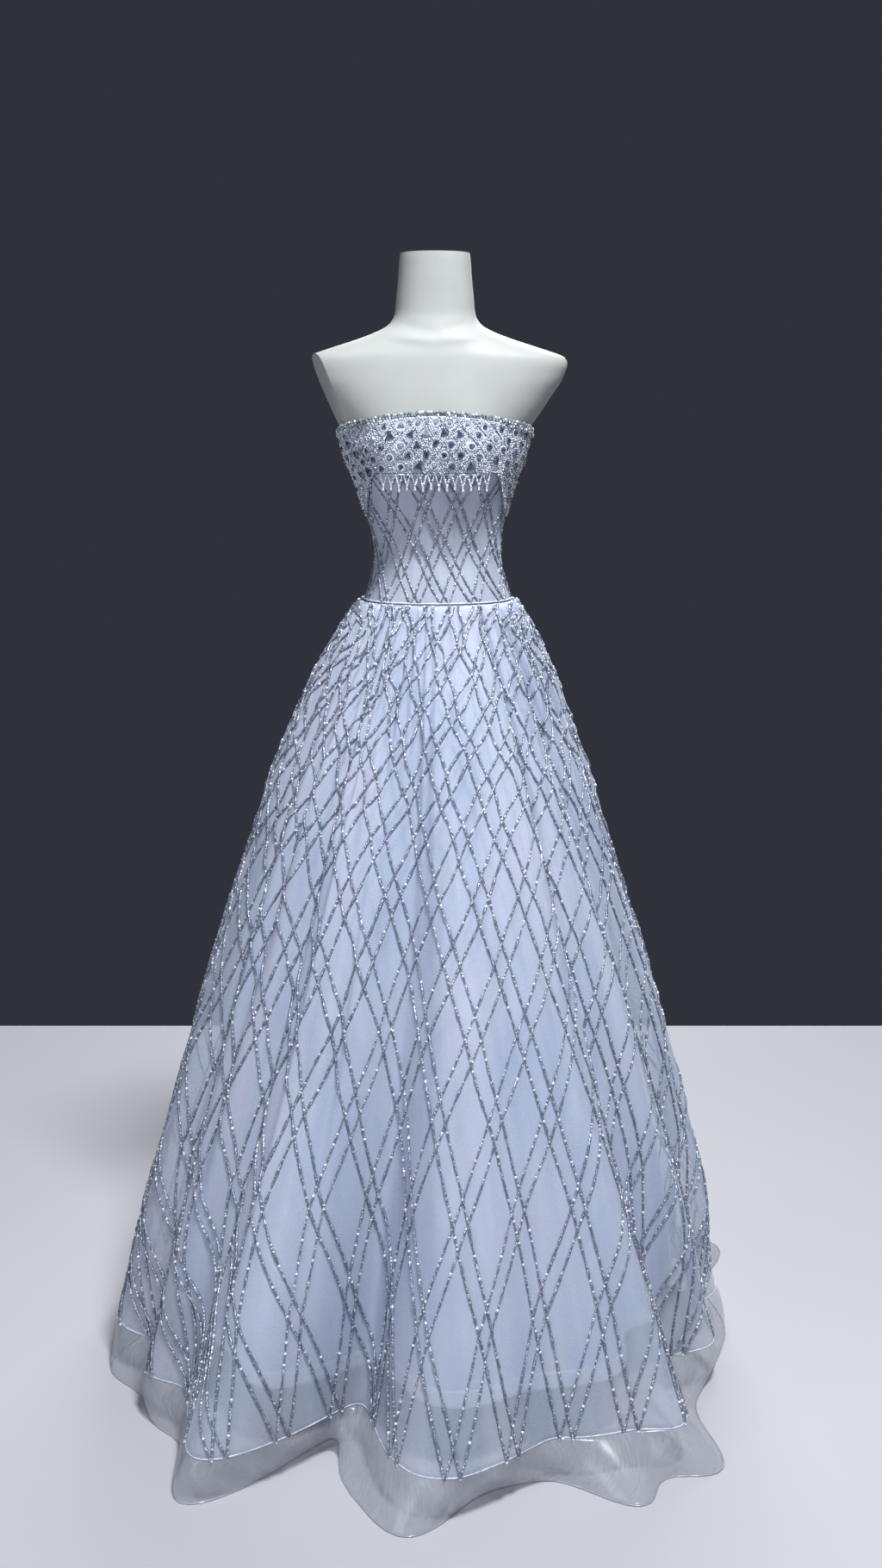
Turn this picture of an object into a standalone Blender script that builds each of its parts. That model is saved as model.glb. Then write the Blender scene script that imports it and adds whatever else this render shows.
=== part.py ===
# A strapless a-line evening gown on its limbless dress form and stand.
# Metres, +Z up. The gown's front faces -Y. The origin is on the floor, under the
# stand's pole. Azimuths are in degrees from the front, positive towards +X.

import math
from collections import namedtuple

import bmesh
import bpy
from mathutils import Vector

for leftover in list(bpy.data.objects):
    bpy.data.objects.remove(leftover, do_unlink=True)

# Walls and the gaps that part neighbouring pieces
CLOTH = 0.0012
BAND_WALL = 0.0014
SEAM_GAP = 0.0003
FORM_EASE = 0.0013
BAND_EASE = 0.0017
ROUNDNESS = 2.15

# Heights
FORM_BOTTOM = 0.930
WAIST_SEAM = 1.188
NECKLINE_SIDE = 1.456
NECKLINE_FRONT_RISE = 0.032
NECKLINE_BACK_DROP = 0.006
OVERLAY_HEM = 0.062

# The bust of the form: two soft mounds
CUP_AZIMUTH = 29.0
CUP_HALF_WIDTH = 21.0
CUP_HEIGHT = 1.418
CUP_HALF_HEIGHT = 0.058
CUP_RISE = 0.014

# Where the arms are cut: the plane leaves the shoulder tip and ends at the underarm
SHOULDER_TIP = (0.198, 1.579)
UNDERARM = (0.1545, 1.461)
ArmCut = namedtuple("ArmCut", "side turned_forward")
ARM_CUTS = {"left_arm_cut": ArmCut(-1, 13.0), "right_arm_cut": ArmCut(1, 7.0)}
ARM_CUT_SIZE = 0.30
ARM_PIVOT_BACK = 0.02

Section = namedtuple("Section", "height left right front back")

FORM_SECTIONS = (
    Section(1.740, 0.056, 0.056, 0.052, 0.054),
    Section(1.700, 0.059, 0.059, 0.054, 0.056),
    Section(1.668, 0.062, 0.062, 0.056, 0.058),
    Section(1.642, 0.065, 0.065, 0.059, 0.061),
    Section(1.628, 0.073, 0.073, 0.063, 0.065),
    Section(1.618, 0.088, 0.088, 0.067, 0.070),
    Section(1.605, 0.120, 0.120, 0.072, 0.077),
    Section(1.588, 0.172, 0.172, 0.078, 0.086),
    Section(1.574, 0.208, 0.208, 0.083, 0.092),
    Section(1.545, 0.206, 0.206, 0.091, 0.099),
    Section(1.510, 0.183, 0.184, 0.100, 0.103),
    Section(1.480, 0.163, 0.164, 0.106, 0.103),
    Section(1.456, 0.1485, 0.1485, 0.110, 0.101),
    Section(1.436, 0.1455, 0.1440, 0.112, 0.099),
    Section(1.412, 0.1385, 0.1370, 0.111, 0.097),
    Section(1.380, 0.1245, 0.1255, 0.105, 0.094),
    Section(1.350, 0.1145, 0.1165, 0.098, 0.090),
    Section(1.318, 0.1040, 0.1075, 0.091, 0.086),
    Section(1.285, 0.0955, 0.1025, 0.085, 0.081),
    Section(1.255, 0.0930, 0.1020, 0.082, 0.079),
    Section(1.220, 0.1000, 0.1095, 0.087, 0.084),
    Section(1.188, 0.1110, 0.1190, 0.094, 0.092),
    Section(1.130, 0.1290, 0.1330, 0.102, 0.107),
    Section(1.060, 0.1460, 0.1460, 0.107, 0.118),
    Section(0.990, 0.1500, 0.1500, 0.106, 0.119),
    Section(0.950, 0.1420, 0.1420, 0.097, 0.109),
    Section(0.930, 0.1260, 0.1260, 0.084, 0.095),
)

# The overlay skirt's outermost ridges, before its folds go in
OVERLAY_SECTIONS = (
    Section(1.1877, 0.1220, 0.1310, 0.0998, 0.1040),
    Section(1.176, 0.1300, 0.1380, 0.1045, 0.1120),
    Section(1.160, 0.1400, 0.1470, 0.1110, 0.1210),
    Section(1.126, 0.1620, 0.1640, 0.1260, 0.1390),
    Section(1.071, 0.1930, 0.1900, 0.1520, 0.1670),
    Section(0.988, 0.2300, 0.2200, 0.1880, 0.2020),
    Section(0.906, 0.2640, 0.2510, 0.2210, 0.2350),
    Section(0.796, 0.3010, 0.2860, 0.2640, 0.2760),
    Section(0.686, 0.3390, 0.3240, 0.3040, 0.3150),
    Section(0.577, 0.3750, 0.3610, 0.3420, 0.3520),
    Section(0.400, 0.4260, 0.4050, 0.3970, 0.4060),
    Section(0.225, 0.4740, 0.4410, 0.4470, 0.4520),
    Section(0.117, 0.4970, 0.4500, 0.4740, 0.4770),
    Section(0.062, 0.5110, 0.4620, 0.4880, 0.4920),
)

LINING_SECTIONS = (
    Section(1.1873, 0.1150, 0.1235, 0.0964, 0.0960),
    Section(1.160, 0.1300, 0.1350, 0.1040, 0.1090),
    Section(1.126, 0.1480, 0.1500, 0.1150, 0.1260),
    Section(1.071, 0.1760, 0.1740, 0.1380, 0.1510),
    Section(0.906, 0.2420, 0.2300, 0.1980, 0.2110),
    Section(0.686, 0.3050, 0.2880, 0.2680, 0.2790),
    Section(0.400, 0.3760, 0.3560, 0.3450, 0.3530),
    Section(0.200, 0.4160, 0.3900, 0.3870, 0.3930),
    Section(0.090, 0.4320, 0.4020, 0.4060, 0.4100),
)

# Folds that run the length of the skirt. A ridge reaches out and a valley has a
# negative reach. Both are measured at the hem and die away upwards.
Fold = namedtuple("Fold", "azimuth_top azimuth_hem half_width reach start")

SKIRT_FOLDS = (
    Fold(-8.0, -17.0, 7.5, -0.126, 1.150),
    Fold(6.0, 1.0, 9.0, 0.040, 0.700),
    Fold(20.0, 20.0, 5.5, -0.024, 0.750),
    Fold(32.0, 41.0, 6.0, 0.046, 0.600),
    Fold(42.0, 55.0, 7.0, -0.066, 1.120),
    Fold(60.0, 77.0, 6.0, -0.048, 1.100),
    Fold(82.0, 104.0, 7.5, -0.062, 1.130),
    Fold(104.0, 128.0, 7.0, -0.078, 1.120),
    Fold(130.0, 148.0, 6.5, -0.054, 1.100),
    Fold(150.0, 164.0, 6.0, -0.070, 1.120),
    Fold(172.0, 182.0, 6.5, -0.046, 1.080),
    Fold(-163.0, -158.0, 7.0, -0.076, 1.120),
    Fold(-138.0, -134.0, 6.5, -0.056, 1.100),
    Fold(-112.0, -112.0, 7.5, -0.074, 1.130),
    Fold(-84.0, -92.0, 5.5, -0.030, 1.000),
    Fold(-62.0, -66.0, 6.0, -0.046, 1.120),
    Fold(-42.0, -50.0, 5.0, -0.030, 1.100),
    Fold(-28.0, -34.0, 6.5, 0.078, 0.520),
)
FOLD_GROWTH = 1.25
FOLD_DRIFT = 2.5
LINING_VALLEY_SHARE = 0.86
LINING_RIDGE_SHARE = 0.30
LINING_FOLD_WIDENING = 1.45

# Gathers sewn into the waist seam: fine waves, shallow over the smooth front panel
GATHER_COUNT = 30
GATHER_DEPTH = 0.0085
GATHER_FRONT_SHARE = 0.12
GATHER_FRONT_CENTRE = 12.0
GATHER_FRONT_HALF_WIDTH = 34.0
GATHER_PEAK = 1.020
GATHER_SPREAD = 0.200
GATHER_DEPTH_AT_SEAM = 0.0035

# The clear stiff hem: how far each flute of its lower edge reaches from the valleys
Flute = namedtuple("Flute", "azimuth half_width reach")
HEM_VALLEY_RADIUS = 0.458
HEM_FLUTES = (
    Flute(-73.0, 9.0, 0.068),
    Flute(-54.0, 10.0, 0.052),
    Flute(-35.5, 8.0, 0.138),
    Flute(-24.0, 5.5, -0.106),
    Flute(-4.0, 8.5, 0.100),
    Flute(30.0, 6.0, 0.104),
    Flute(44.0, 8.0, 0.118),
    Flute(86.0, 10.0, 0.014),
    Flute(116.0, 9.0, 0.100),
    Flute(139.0, 8.0, 0.110),
    Flute(157.0, 7.0, 0.070),
    Flute(175.0, 8.0, 0.112),
    Flute(-169.0, 6.0, 0.070),
    Flute(-147.0, 8.0, 0.104),
    Flute(-124.0, 8.0, 0.116),
    Flute(-101.0, 8.0, 0.074),
)
HEM_BULGE = 0.006
HEM_WALL = 0.0016

# The jewelled band round the bust
BAND_EDGE_FRONT = 1.392
BAND_EDGE_SIDE = 1.322
BAND_EDGE_BACK = 1.360
BAND_STRAIGHT_HALF_WIDTH = 42.0
BAND_SIDE_AZIMUTH = 78.0
BAND_TOP_INSET = 0.006
BAND_HANG = 0.65
STONE_RISE = 0.0030
TRIM_HEIGHT = 0.0050
TRIM_DEPTH = 0.0032
TRIM_BEAD_RISE = 0.0010

# The bead loops under the band's straight front edge
LOOP_COUNT = 14
LOOP_HALF_WIDTH = 0.0036
LOOP_STRAND = 0.0016
LOOP_LENGTH = 0.024
LOOP_BEAD = 0.0019
LOOP_BEAD_LENGTH = 0.0052
FRINGE_HALF_WIDTH = 0.081
FRINGE_STRIP = 0.0022
FRINGE_DEPTH = 0.0014

# The waist seam's piping
PIPING_HEIGHT = 0.0030
PIPING_DEPTH = 0.0016
PIPING_FLAT_SHARE = 0.7

# The centre-back zip
ZIP_CLEAR_HALF_WIDTH = 0.0085
BODICE_MEAN_RADIUS = 0.1
ZIP_INSET = math.degrees(ZIP_CLEAR_HALF_WIDTH / BODICE_MEAN_RADIUS)
SLIDER_HEIGHT = 1.434
SLIDER_SIZE = (0.0060, 0.0016, 0.0100)
PIN_RADIUS = 0.0005
PIN_STAND_OFF = 0.0020
EYE_INNER = 0.0008
EYE_OUTER = 0.0015
LUG_THICKNESS = 0.0007
TAB_WIDTH = 0.0032
TAB_THICKNESS = 0.0010
TAB_LENGTH = 0.022
ROUND_SIDES = 12

# The stand
POLE_RADIUS = 0.016
BASE_RADIUS = 0.170
BASE_THICKNESS = 0.008
BASE_EDGE = 0.003
SOCKET_RADIUS = 0.024
SOCKET_HEIGHT = 0.045
POLE_SIDES = 24
BASE_SIDES = 36

# Where the pieces part: the front panel meets the back ones at the side seams
SIDE_SEAM = 90.0
CENTRE_BACK = 180.0
BODY_COLUMNS = 48
BAND_COLUMNS = 72
SKIRT_COLUMNS = 120
LINING_COLUMNS = 60

FORM_ROWS = (
    (1.740, 1.668, 1.642, 1.628, 1.615, 1.600, 1.585, 1.572, 1.545, 1.510, 1.480)
    + (1.456, 1.436, 1.418, 1.397, 1.372, 1.345, 1.320, 1.298, 1.277, 1.256, 1.234, 1.210)
    + (1.188, 1.150, 1.060, 0.990, 0.950, 0.930)
)
OVERLAY_ROWS = (1.1877, 1.170, 1.135, 1.065, 0.950, 0.800, 0.600, 0.380, 0.180, 0.062)
LINING_ROWS = (1.1873, 1.150, 1.070, 0.900, 0.600, 0.300, 0.090)
BODICE_ROW_SHARES = (0.0, 0.09, 0.17, 0.24, 0.31, 0.40, 0.51, 0.62, 0.74, 0.87, 1.0)
BAND_ROWS = 8
BAND_INNER_ROWS = 4
HEM_ROWS = 2

Panel = namedtuple("Panel", "name start end")


def panels(side_seam=SIDE_SEAM):
    return (
        Panel("front", -side_seam, side_seam),
        Panel("back_right", side_seam, CENTRE_BACK),
        Panel("back_left", CENTRE_BACK, 2 * CENTRE_BACK - side_seam),
    )


def section_at(table, height):
    """The four half-axes at a height, on a smooth curve through the table's rows."""
    if height >= table[0].height:
        return table[0][1:]
    if height <= table[-1].height:
        return table[-1][1:]
    last = len(table) - 1
    index = next(i for i in range(last) if table[i + 1].height <= height)
    upper, lower = table[index], table[index + 1]
    before, after = table[max(index - 1, 0)], table[min(index + 2, last)]
    span = upper.height - lower.height
    t = (upper.height - height) / span
    values = []
    for column in range(1, 5):
        rise = lower[column] - upper[column]
        slope_in = slope(before, lower, column) * span if index else rise
        slope_out = slope(upper, after, column) * span if index + 1 < last else rise
        values.append(
            upper[column] * (2 * t**3 - 3 * t**2 + 1)
            + slope_in * (t**3 - 2 * t**2 + t)
            + lower[column] * (3 * t**2 - 2 * t**3)
            + slope_out * (t**3 - t**2)
        )
    return values


def slope(upper, lower, column):
    return (lower[column] - upper[column]) / (upper.height - lower.height)


def section_radius(table, azimuth, height):
    left, right, front, back = section_at(table, height)
    across, ahead = math.sin(math.radians(azimuth)), math.cos(math.radians(azimuth))
    width = right if across > 0 else left
    depth = front if ahead > 0 else back
    total = abs(across / width) ** ROUNDNESS + abs(ahead / depth) ** ROUNDNESS
    return total ** (-1 / ROUNDNESS)


def turn_between(azimuth, other):
    return (azimuth - other + 180.0) % 360.0 - 180.0


def bump(distance, half_width):
    return math.exp(-((distance / half_width) ** 2))


def smooth_step(t):
    t = min(max(t, 0.0), 1.0)
    return t * t * (3 - 2 * t)


def at(azimuth, radius, height):
    angle = math.radians(azimuth)
    return Vector((radius * math.sin(angle), -radius * math.cos(angle), height))


def form_radius(azimuth, height):
    cups = sum(bump(turn_between(azimuth, side * CUP_AZIMUTH), CUP_HALF_WIDTH) for side in (-1, 1))
    mound = CUP_RISE * cups * bump(height - CUP_HEIGHT, CUP_HALF_HEIGHT)
    return section_radius(FORM_SECTIONS, azimuth, height) + mound


def bodice_radius(azimuth, height):
    return form_radius(azimuth, height) + FORM_EASE + CLOTH


def neckline(azimuth):
    ahead = math.cos(math.radians(azimuth))
    change = NECKLINE_FRONT_RISE if ahead > 0 else NECKLINE_BACK_DROP
    return NECKLINE_SIDE + change * ahead


def band_edge(azimuth):
    turn = abs(turn_between(azimuth, 0))
    if turn < BAND_SIDE_AZIMUTH:
        t = (turn - BAND_STRAIGHT_HALF_WIDTH) / (BAND_SIDE_AZIMUTH - BAND_STRAIGHT_HALF_WIDTH)
        return BAND_EDGE_FRONT + (BAND_EDGE_SIDE - BAND_EDGE_FRONT) * smooth_step(t)
    t = (turn - BAND_SIDE_AZIMUTH) / (CENTRE_BACK - BAND_SIDE_AZIMUTH)
    return BAND_EDGE_SIDE + (BAND_EDGE_BACK - BAND_EDGE_SIDE) * smooth_step(t)


def band_radius(azimuth, height):
    """The band's inner face: on the bodice above the cups, hanging straighter below them."""
    radius = bodice_radius(azimuth, height)
    if height < CUP_HEIGHT:
        ahead = max(math.cos(math.radians(azimuth)), 0.0)
        radius += BAND_HANG * ahead * (bodice_radius(azimuth, CUP_HEIGHT) - radius)
    return radius + BAND_EASE


def gathers(azimuth, height):
    front = bump(turn_between(azimuth, GATHER_FRONT_CENTRE), GATHER_FRONT_HALF_WIDTH)
    share = 1 - (1 - GATHER_FRONT_SHARE) * front
    depth = GATHER_DEPTH * bump(height - GATHER_PEAK, GATHER_SPREAD)
    if height > GATHER_PEAK:
        t = (height - GATHER_PEAK) / (WAIST_SEAM - GATHER_PEAK)
        depth = GATHER_DEPTH + (GATHER_DEPTH_AT_SEAM - GATHER_DEPTH) * t
    wave = 0.5 - 0.5 * math.cos(math.radians(GATHER_COUNT * azimuth))
    return depth * share * wave


def folds(azimuth, height, ridge_share=1.0, valley_share=1.0, widening=1.0):
    total = 0.0
    drop = (WAIST_SEAM - height) / (WAIST_SEAM - OVERLAY_HEM)
    for fold in SKIRT_FOLDS:
        if height >= fold.start:
            continue
        grown = ((fold.start - height) / (fold.start - OVERLAY_HEM)) ** FOLD_GROWTH
        centre = fold.azimuth_top + (fold.azimuth_hem - fold.azimuth_top) * drop**FOLD_DRIFT
        share = ridge_share if fold.reach > 0 else valley_share
        across = bump(turn_between(azimuth, centre), fold.half_width * widening)
        total += share * fold.reach * grown * across
    return total


def overlay_radius(azimuth, height):
    base = section_radius(OVERLAY_SECTIONS, azimuth, height)
    return base + folds(azimuth, height) - gathers(azimuth, height)


def lining_radius(azimuth, height):
    base = section_radius(LINING_SECTIONS, azimuth, height)
    return base + folds(
        azimuth, height, LINING_RIDGE_SHARE, LINING_VALLEY_SHARE, LINING_FOLD_WIDENING
    )


def hem_edge_radius(azimuth):
    reach = sum(f.reach * bump(turn_between(azimuth, f.azimuth), f.half_width) for f in HEM_FLUTES)
    return HEM_VALLEY_RADIUS + reach


def material(name, color, roughness, metallic=0.0, alpha=1.0):
    made = bpy.data.materials.new(name)
    made.use_nodes = True
    shader = made.node_tree.nodes["Principled BSDF"]
    shader.inputs["Base Color"].default_value = (*color, 1.0)
    shader.inputs["Roughness"].default_value = roughness
    shader.inputs["Metallic"].default_value = metallic
    shader.inputs["Alpha"].default_value = alpha
    made.diffuse_color = (*color, alpha)
    return made


def add_object(name, mesh_maker, finish, location=(0, 0, 0), sharp_angle=40.0):
    """One named piece from a function that fills a bmesh."""
    work = bmesh.new()
    mesh_maker(work)
    work.normal_update()
    bmesh.ops.recalc_face_normals(work, faces=work.faces)
    mesh = bpy.data.meshes.new(name)
    work.to_mesh(mesh)
    work.free()
    mesh.materials.append(finish)
    mesh.shade_smooth()
    mesh.set_sharp_from_angle(angle=math.radians(sharp_angle))
    piece = bpy.data.objects.new(name, mesh)
    piece.location = location
    piece.parent = gown_frame
    bpy.context.scene.collection.objects.link(piece)
    return piece


def join_rings(work, first, second, closed):
    count = len(first)
    for i in range(count if closed else count - 1):
        j = (i + 1) % count
        work.faces.new((first[i], second[i], second[j], first[j]))


def fill_wall(work, outer, inner):
    """A closed wall between two grids of points, each a list of rows from top to bottom."""
    outer_rows = [[work.verts.new(point) for point in row] for row in outer]
    inner_rows = [[work.verts.new(point) for point in row] for row in inner]
    for rows in (outer_rows, inner_rows):
        for upper, lower in zip(rows, rows[1:]):
            join_rings(work, upper, lower, closed=False)
    for end in (0, -1):
        join_rings(work, outer_rows[end], inner_rows[end], closed=False)
        side_outer = [row[end] for row in outer_rows]
        if len(inner_rows) == len(outer_rows):
            join_rings(work, side_outer, [row[end] for row in inner_rows], closed=False)
        else:
            work.faces.new(side_outer + [row[end] for row in reversed(inner_rows)])


def panel_azimuths(panel, columns, radius):
    """Evenly spaced azimuths across a panel, drawn in by half the seam gap at each end."""
    inset = math.degrees(SEAM_GAP / 2 / radius)
    count = round(columns * (panel.end - panel.start) / 360)
    step = (panel.end - panel.start) / count
    inner = [panel.start + step * i for i in range(1, count)]
    return [panel.start + inset] + inner + [panel.end - inset]


def cloth_point(radius_at, azimuth, height, depth):
    """A point on a draped surface, moved in by a depth along the surface's own normal."""
    turn, drop = 0.05, 0.0005
    here = at(azimuth, radius_at(azimuth, height), height)
    along = at(azimuth + turn, radius_at(azimuth + turn, height), height) - here
    down = at(azimuth, radius_at(azimuth, height - drop), height - drop) - here
    outward = down.cross(along).normalized()
    moved = here - outward * depth
    moved.z = height
    return moved


def skirt_panel(panel, radius_at, heights, columns):
    def make(work):
        outer, inner = [], []
        for height in heights:
            azimuths = panel_azimuths(panel, columns, radius_at(panel.end, height))
            outer.append([cloth_point(radius_at, a, height, 0.0) for a in azimuths])
            inner.append([cloth_point(radius_at, a, height, CLOTH) for a in azimuths])
        fill_wall(work, outer, inner)

    return make


def bodice_panel(panel):
    def make(work):
        azimuths = panel_azimuths(panel, BODY_COLUMNS, BODICE_MEAN_RADIUS)
        low = WAIST_SEAM + SEAM_GAP
        outer, inner = [], []
        for share in BODICE_ROW_SHARES:
            heights = [neckline(a) + (low - neckline(a)) * share for a in azimuths]
            radii = [form_radius(a, z) + FORM_EASE for a, z in zip(azimuths, heights)]
            inner.append([at(a, r, z) for a, r, z in zip(azimuths, radii, heights)])
            outer.append([at(a, r + CLOTH, z) for a, r, z in zip(azimuths, radii, heights)])
        fill_wall(work, outer, inner)

    return make


def band_panel(panel):
    """The band's outer face rises to a stone at every other point of its grid."""

    def make(work):
        azimuths = panel_azimuths(panel, BAND_COLUMNS, BODICE_MEAN_RADIUS)
        outer = [[] for _ in range(BAND_ROWS + 1)]
        inner = [[] for _ in range(BAND_INNER_ROWS + 1)]
        for column, azimuth in enumerate(azimuths):
            top = neckline(azimuth) - BAND_TOP_INSET
            drop = top - band_edge(azimuth)
            for row, points in enumerate(outer):
                height = top - drop * row / BAND_ROWS
                inside = 0 < row < BAND_ROWS and 0 < column < len(azimuths) - 1
                stone = STONE_RISE if inside and (row + column) % 2 else 0.0
                points.append(at(azimuth, band_radius(azimuth, height) + BAND_WALL + stone, height))
            for row, points in enumerate(inner):
                height = top - drop * row / BAND_INNER_ROWS
                points.append(at(azimuth, band_radius(azimuth, height), height))
        fill_wall(work, outer, inner)

    return make


def ring_panel(panel, columns, profile_at):
    """A closed strip along a panel. profile_at gives the corners of its section."""

    def make(work):
        azimuths = panel_azimuths(panel, columns, BODICE_MEAN_RADIUS)
        rings = [
            [work.verts.new(corner) for corner in profile_at(azimuth, index)]
            for index, azimuth in enumerate(azimuths)
        ]
        for first, second in zip(rings, rings[1:]):
            join_rings(work, first, second, closed=True)
        work.faces.new(rings[0])
        work.faces.new(rings[-1])

    return make


def trim_profile(azimuth, index):
    top = neckline(azimuth)
    bead = TRIM_BEAD_RISE if index % 2 else 0.0
    inner = max(bodice_radius(azimuth, top - drop) for drop in (0.0, TRIM_HEIGHT)) + BAND_EASE
    outer = inner + TRIM_DEPTH + bead
    low, high = top - TRIM_HEIGHT - bead / 2, top + bead / 2
    return (
        at(azimuth, inner, low),
        at(azimuth, outer, low),
        at(azimuth, outer, high),
        at(azimuth, inner, high),
    )


def piping_profile(azimuth, _index):
    low = WAIST_SEAM + 2 * SEAM_GAP
    inner = bodice_radius(azimuth, low) + 2 * SEAM_GAP
    middle, high = low + PIPING_HEIGHT / 2, low + PIPING_HEIGHT
    return (
        at(azimuth, inner, low),
        at(azimuth, inner + PIPING_DEPTH * PIPING_FLAT_SHARE, low),
        at(azimuth, inner + PIPING_DEPTH, middle),
        at(azimuth, inner + PIPING_DEPTH * PIPING_FLAT_SHARE, high),
        at(azimuth, inner, high),
    )


def hem_panel(panel):
    """The clear stiff hem: from just under the overlay's edge out to its fluted floor edge."""

    def make(work):
        azimuths = panel_azimuths(panel, SKIRT_COLUMNS, HEM_VALLEY_RADIUS)
        top = OVERLAY_HEM - SEAM_GAP
        outer, inner = [], []
        for row in range(HEM_ROWS + 1):
            share = row / HEM_ROWS
            height = top * (1 - share)
            outer_row, inner_row = [], []
            for azimuth in azimuths:
                upper = overlay_radius(azimuth, OVERLAY_HEM)
                lower = hem_edge_radius(azimuth)
                radius = upper + (lower - upper) * share + HEM_BULGE * math.sin(math.pi * share)
                outer_row.append(at(azimuth, radius, height))
                inner_row.append(at(azimuth, radius - HEM_WALL, height))
            outer.append(outer_row)
            inner.append(inner_row)
        fill_wall(work, outer, inner)

    return make


def form_body(work):
    """The torso, lofted through its sections from the neck's flat top to the hips."""
    rings = []
    for height in FORM_ROWS:
        azimuths = [360.0 * i / BODY_COLUMNS for i in range(BODY_COLUMNS)]
        rings.append([work.verts.new(at(a, form_radius(a, height), height)) for a in azimuths])
    for upper, lower in zip(rings, rings[1:]):
        join_rings(work, upper, lower, closed=True)
    work.faces.new(rings[0])
    work.faces.new(rings[-1])


def arm_block(cut):
    """What is cut away at an arm: a block on the plane from the shoulder tip to the underarm."""

    def make(work):
        underarm = Vector((cut.side * UNDERARM[0], ARM_PIVOT_BACK, UNDERARM[1]))
        up = Vector((cut.side * (SHOULDER_TIP[0] - UNDERARM[0]), 0.0, SHOULDER_TIP[1] - UNDERARM[1]))
        turn = math.radians(cut.turned_forward)
        along = Vector((cut.side * math.sin(turn), math.cos(turn), 0.0))
        up.normalize()
        outward = up.cross(along).normalized() * cut.side
        if outward.x * cut.side < 0:
            outward.negate()
        for corner in bmesh.ops.create_cube(work, size=1.0)["verts"]:
            across, lift, out = corner.co
            corner.co = underarm + ARM_CUT_SIZE * (
                2 * across * along + (lift + 0.5) * up + (out + 0.5) * outward
            )

    return make


def bead_fringe(work):
    """Bead loops that hang from a narrow strip just under the band's straight edge."""
    pitch = 2 * FRINGE_HALF_WIDTH / LOOP_COUNT
    strip_top = BAND_EDGE_FRONT - SEAM_GAP
    strip_low = strip_top - FRINGE_STRIP
    bead_height = strip_low - LOOP_LENGTH + LOOP_BEAD_LENGTH

    def place(across, height):
        azimuth = math.degrees(math.asin(across / fringe_radius(across)))
        return work.verts.new(at(azimuth, fringe_radius(across), height))

    def fringe_radius(across):
        azimuth = math.degrees(across / band_radius(0.0, BAND_EDGE_FRONT))
        return band_radius(azimuth, BAND_EDGE_FRONT) + BAND_WALL / 2

    half_strand = LOOP_STRAND / 2
    previous = None
    for index in range(LOOP_COUNT):
        centre = -FRINGE_HALF_WIDTH + pitch * (index + 0.5)
        offsets = (
            -LOOP_HALF_WIDTH - half_strand,
            -LOOP_HALF_WIDTH + half_strand,
            LOOP_HALF_WIDTH - half_strand,
            LOOP_HALF_WIDTH + half_strand,
        )
        high = [place(centre + offset, strip_top) for offset in offsets]
        low = [place(centre + offset, strip_low) for offset in offsets]
        if previous:
            work.faces.new((previous[0], previous[1], low[0], high[0]))
        for k in range(3):
            work.faces.new((high[k], low[k], low[k + 1], high[k + 1]))
        left = place(centre - LOOP_BEAD, bead_height)
        right = place(centre + LOOP_BEAD, bead_height)
        notch = place(centre, bead_height + LOOP_BEAD)
        tip = place(centre, bead_height - LOOP_BEAD_LENGTH)
        work.faces.new((low[0], left, notch, low[1]))
        work.faces.new((low[2], notch, right, low[3]))
        work.faces.new((left, tip, right, notch))
        previous = (high[3], low[3])


def cylinder(work, radius, low, high, sides, centre=(0.0, 0.0)):
    rings = []
    for height in (high, low):
        ring = []
        for i in range(sides):
            angle = 2 * math.pi * i / sides
            x = centre[0] + radius * math.cos(angle)
            y = centre[1] + radius * math.sin(angle)
            ring.append(work.verts.new((x, y, height)))
        rings.append(ring)
    join_rings(work, rings[0], rings[1], closed=True)
    for ring in rings:
        work.faces.new(ring)


def base_plate(work):
    profile = (
        (BASE_RADIUS, 0.0),
        (BASE_RADIUS, BASE_THICKNESS - BASE_EDGE),
        (BASE_RADIUS - BASE_EDGE, BASE_THICKNESS),
        (SOCKET_RADIUS, BASE_THICKNESS),
        (SOCKET_RADIUS, SOCKET_HEIGHT),
    )
    rings = []
    for radius, height in profile:
        angles = [2 * math.pi * i / BASE_SIDES for i in range(BASE_SIDES)]
        rings.append([work.verts.new((radius * math.cos(a), radius * math.sin(a), height)) for a in angles])
    for lower, upper in zip(rings, rings[1:]):
        join_rings(work, lower, upper, closed=True)
    work.faces.new(rings[0])
    work.faces.new(rings[-1])


def stand_pole(work):
    cylinder(work, POLE_RADIUS, SOCKET_HEIGHT + SEAM_GAP, FORM_BOTTOM - SEAM_GAP, POLE_SIDES)


def box(work, low, high):
    corners = bmesh.ops.create_cube(work, size=1.0)["verts"]
    for corner in corners:
        for axis in range(3):
            centre = (low[axis] + high[axis]) / 2
            corner.co[axis] = centre + corner.co[axis] * (high[axis] - low[axis])


def across_rod(work, radius, half_width, centre, sides):
    """A round rod along X."""
    ends = []
    for side in (-1, 1):
        ring = []
        for i in range(sides):
            angle = 2 * math.pi * i / sides
            y = centre[1] + radius * math.cos(angle)
            z = centre[2] + radius * math.sin(angle)
            ring.append(work.verts.new((centre[0] + side * half_width, y, z)))
        ends.append(ring)
    join_rings(work, ends[0], ends[1], closed=True)
    for ring in ends:
        work.faces.new(ring)


def slider_plate(work):
    half_width, half_height = SLIDER_SIZE[0] / 2, SLIDER_SIZE[2] / 2
    box(
        work,
        (-half_width, slider_face, SLIDER_HEIGHT - half_height),
        (half_width, slider_outer, SLIDER_HEIGHT + half_height),
    )


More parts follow.
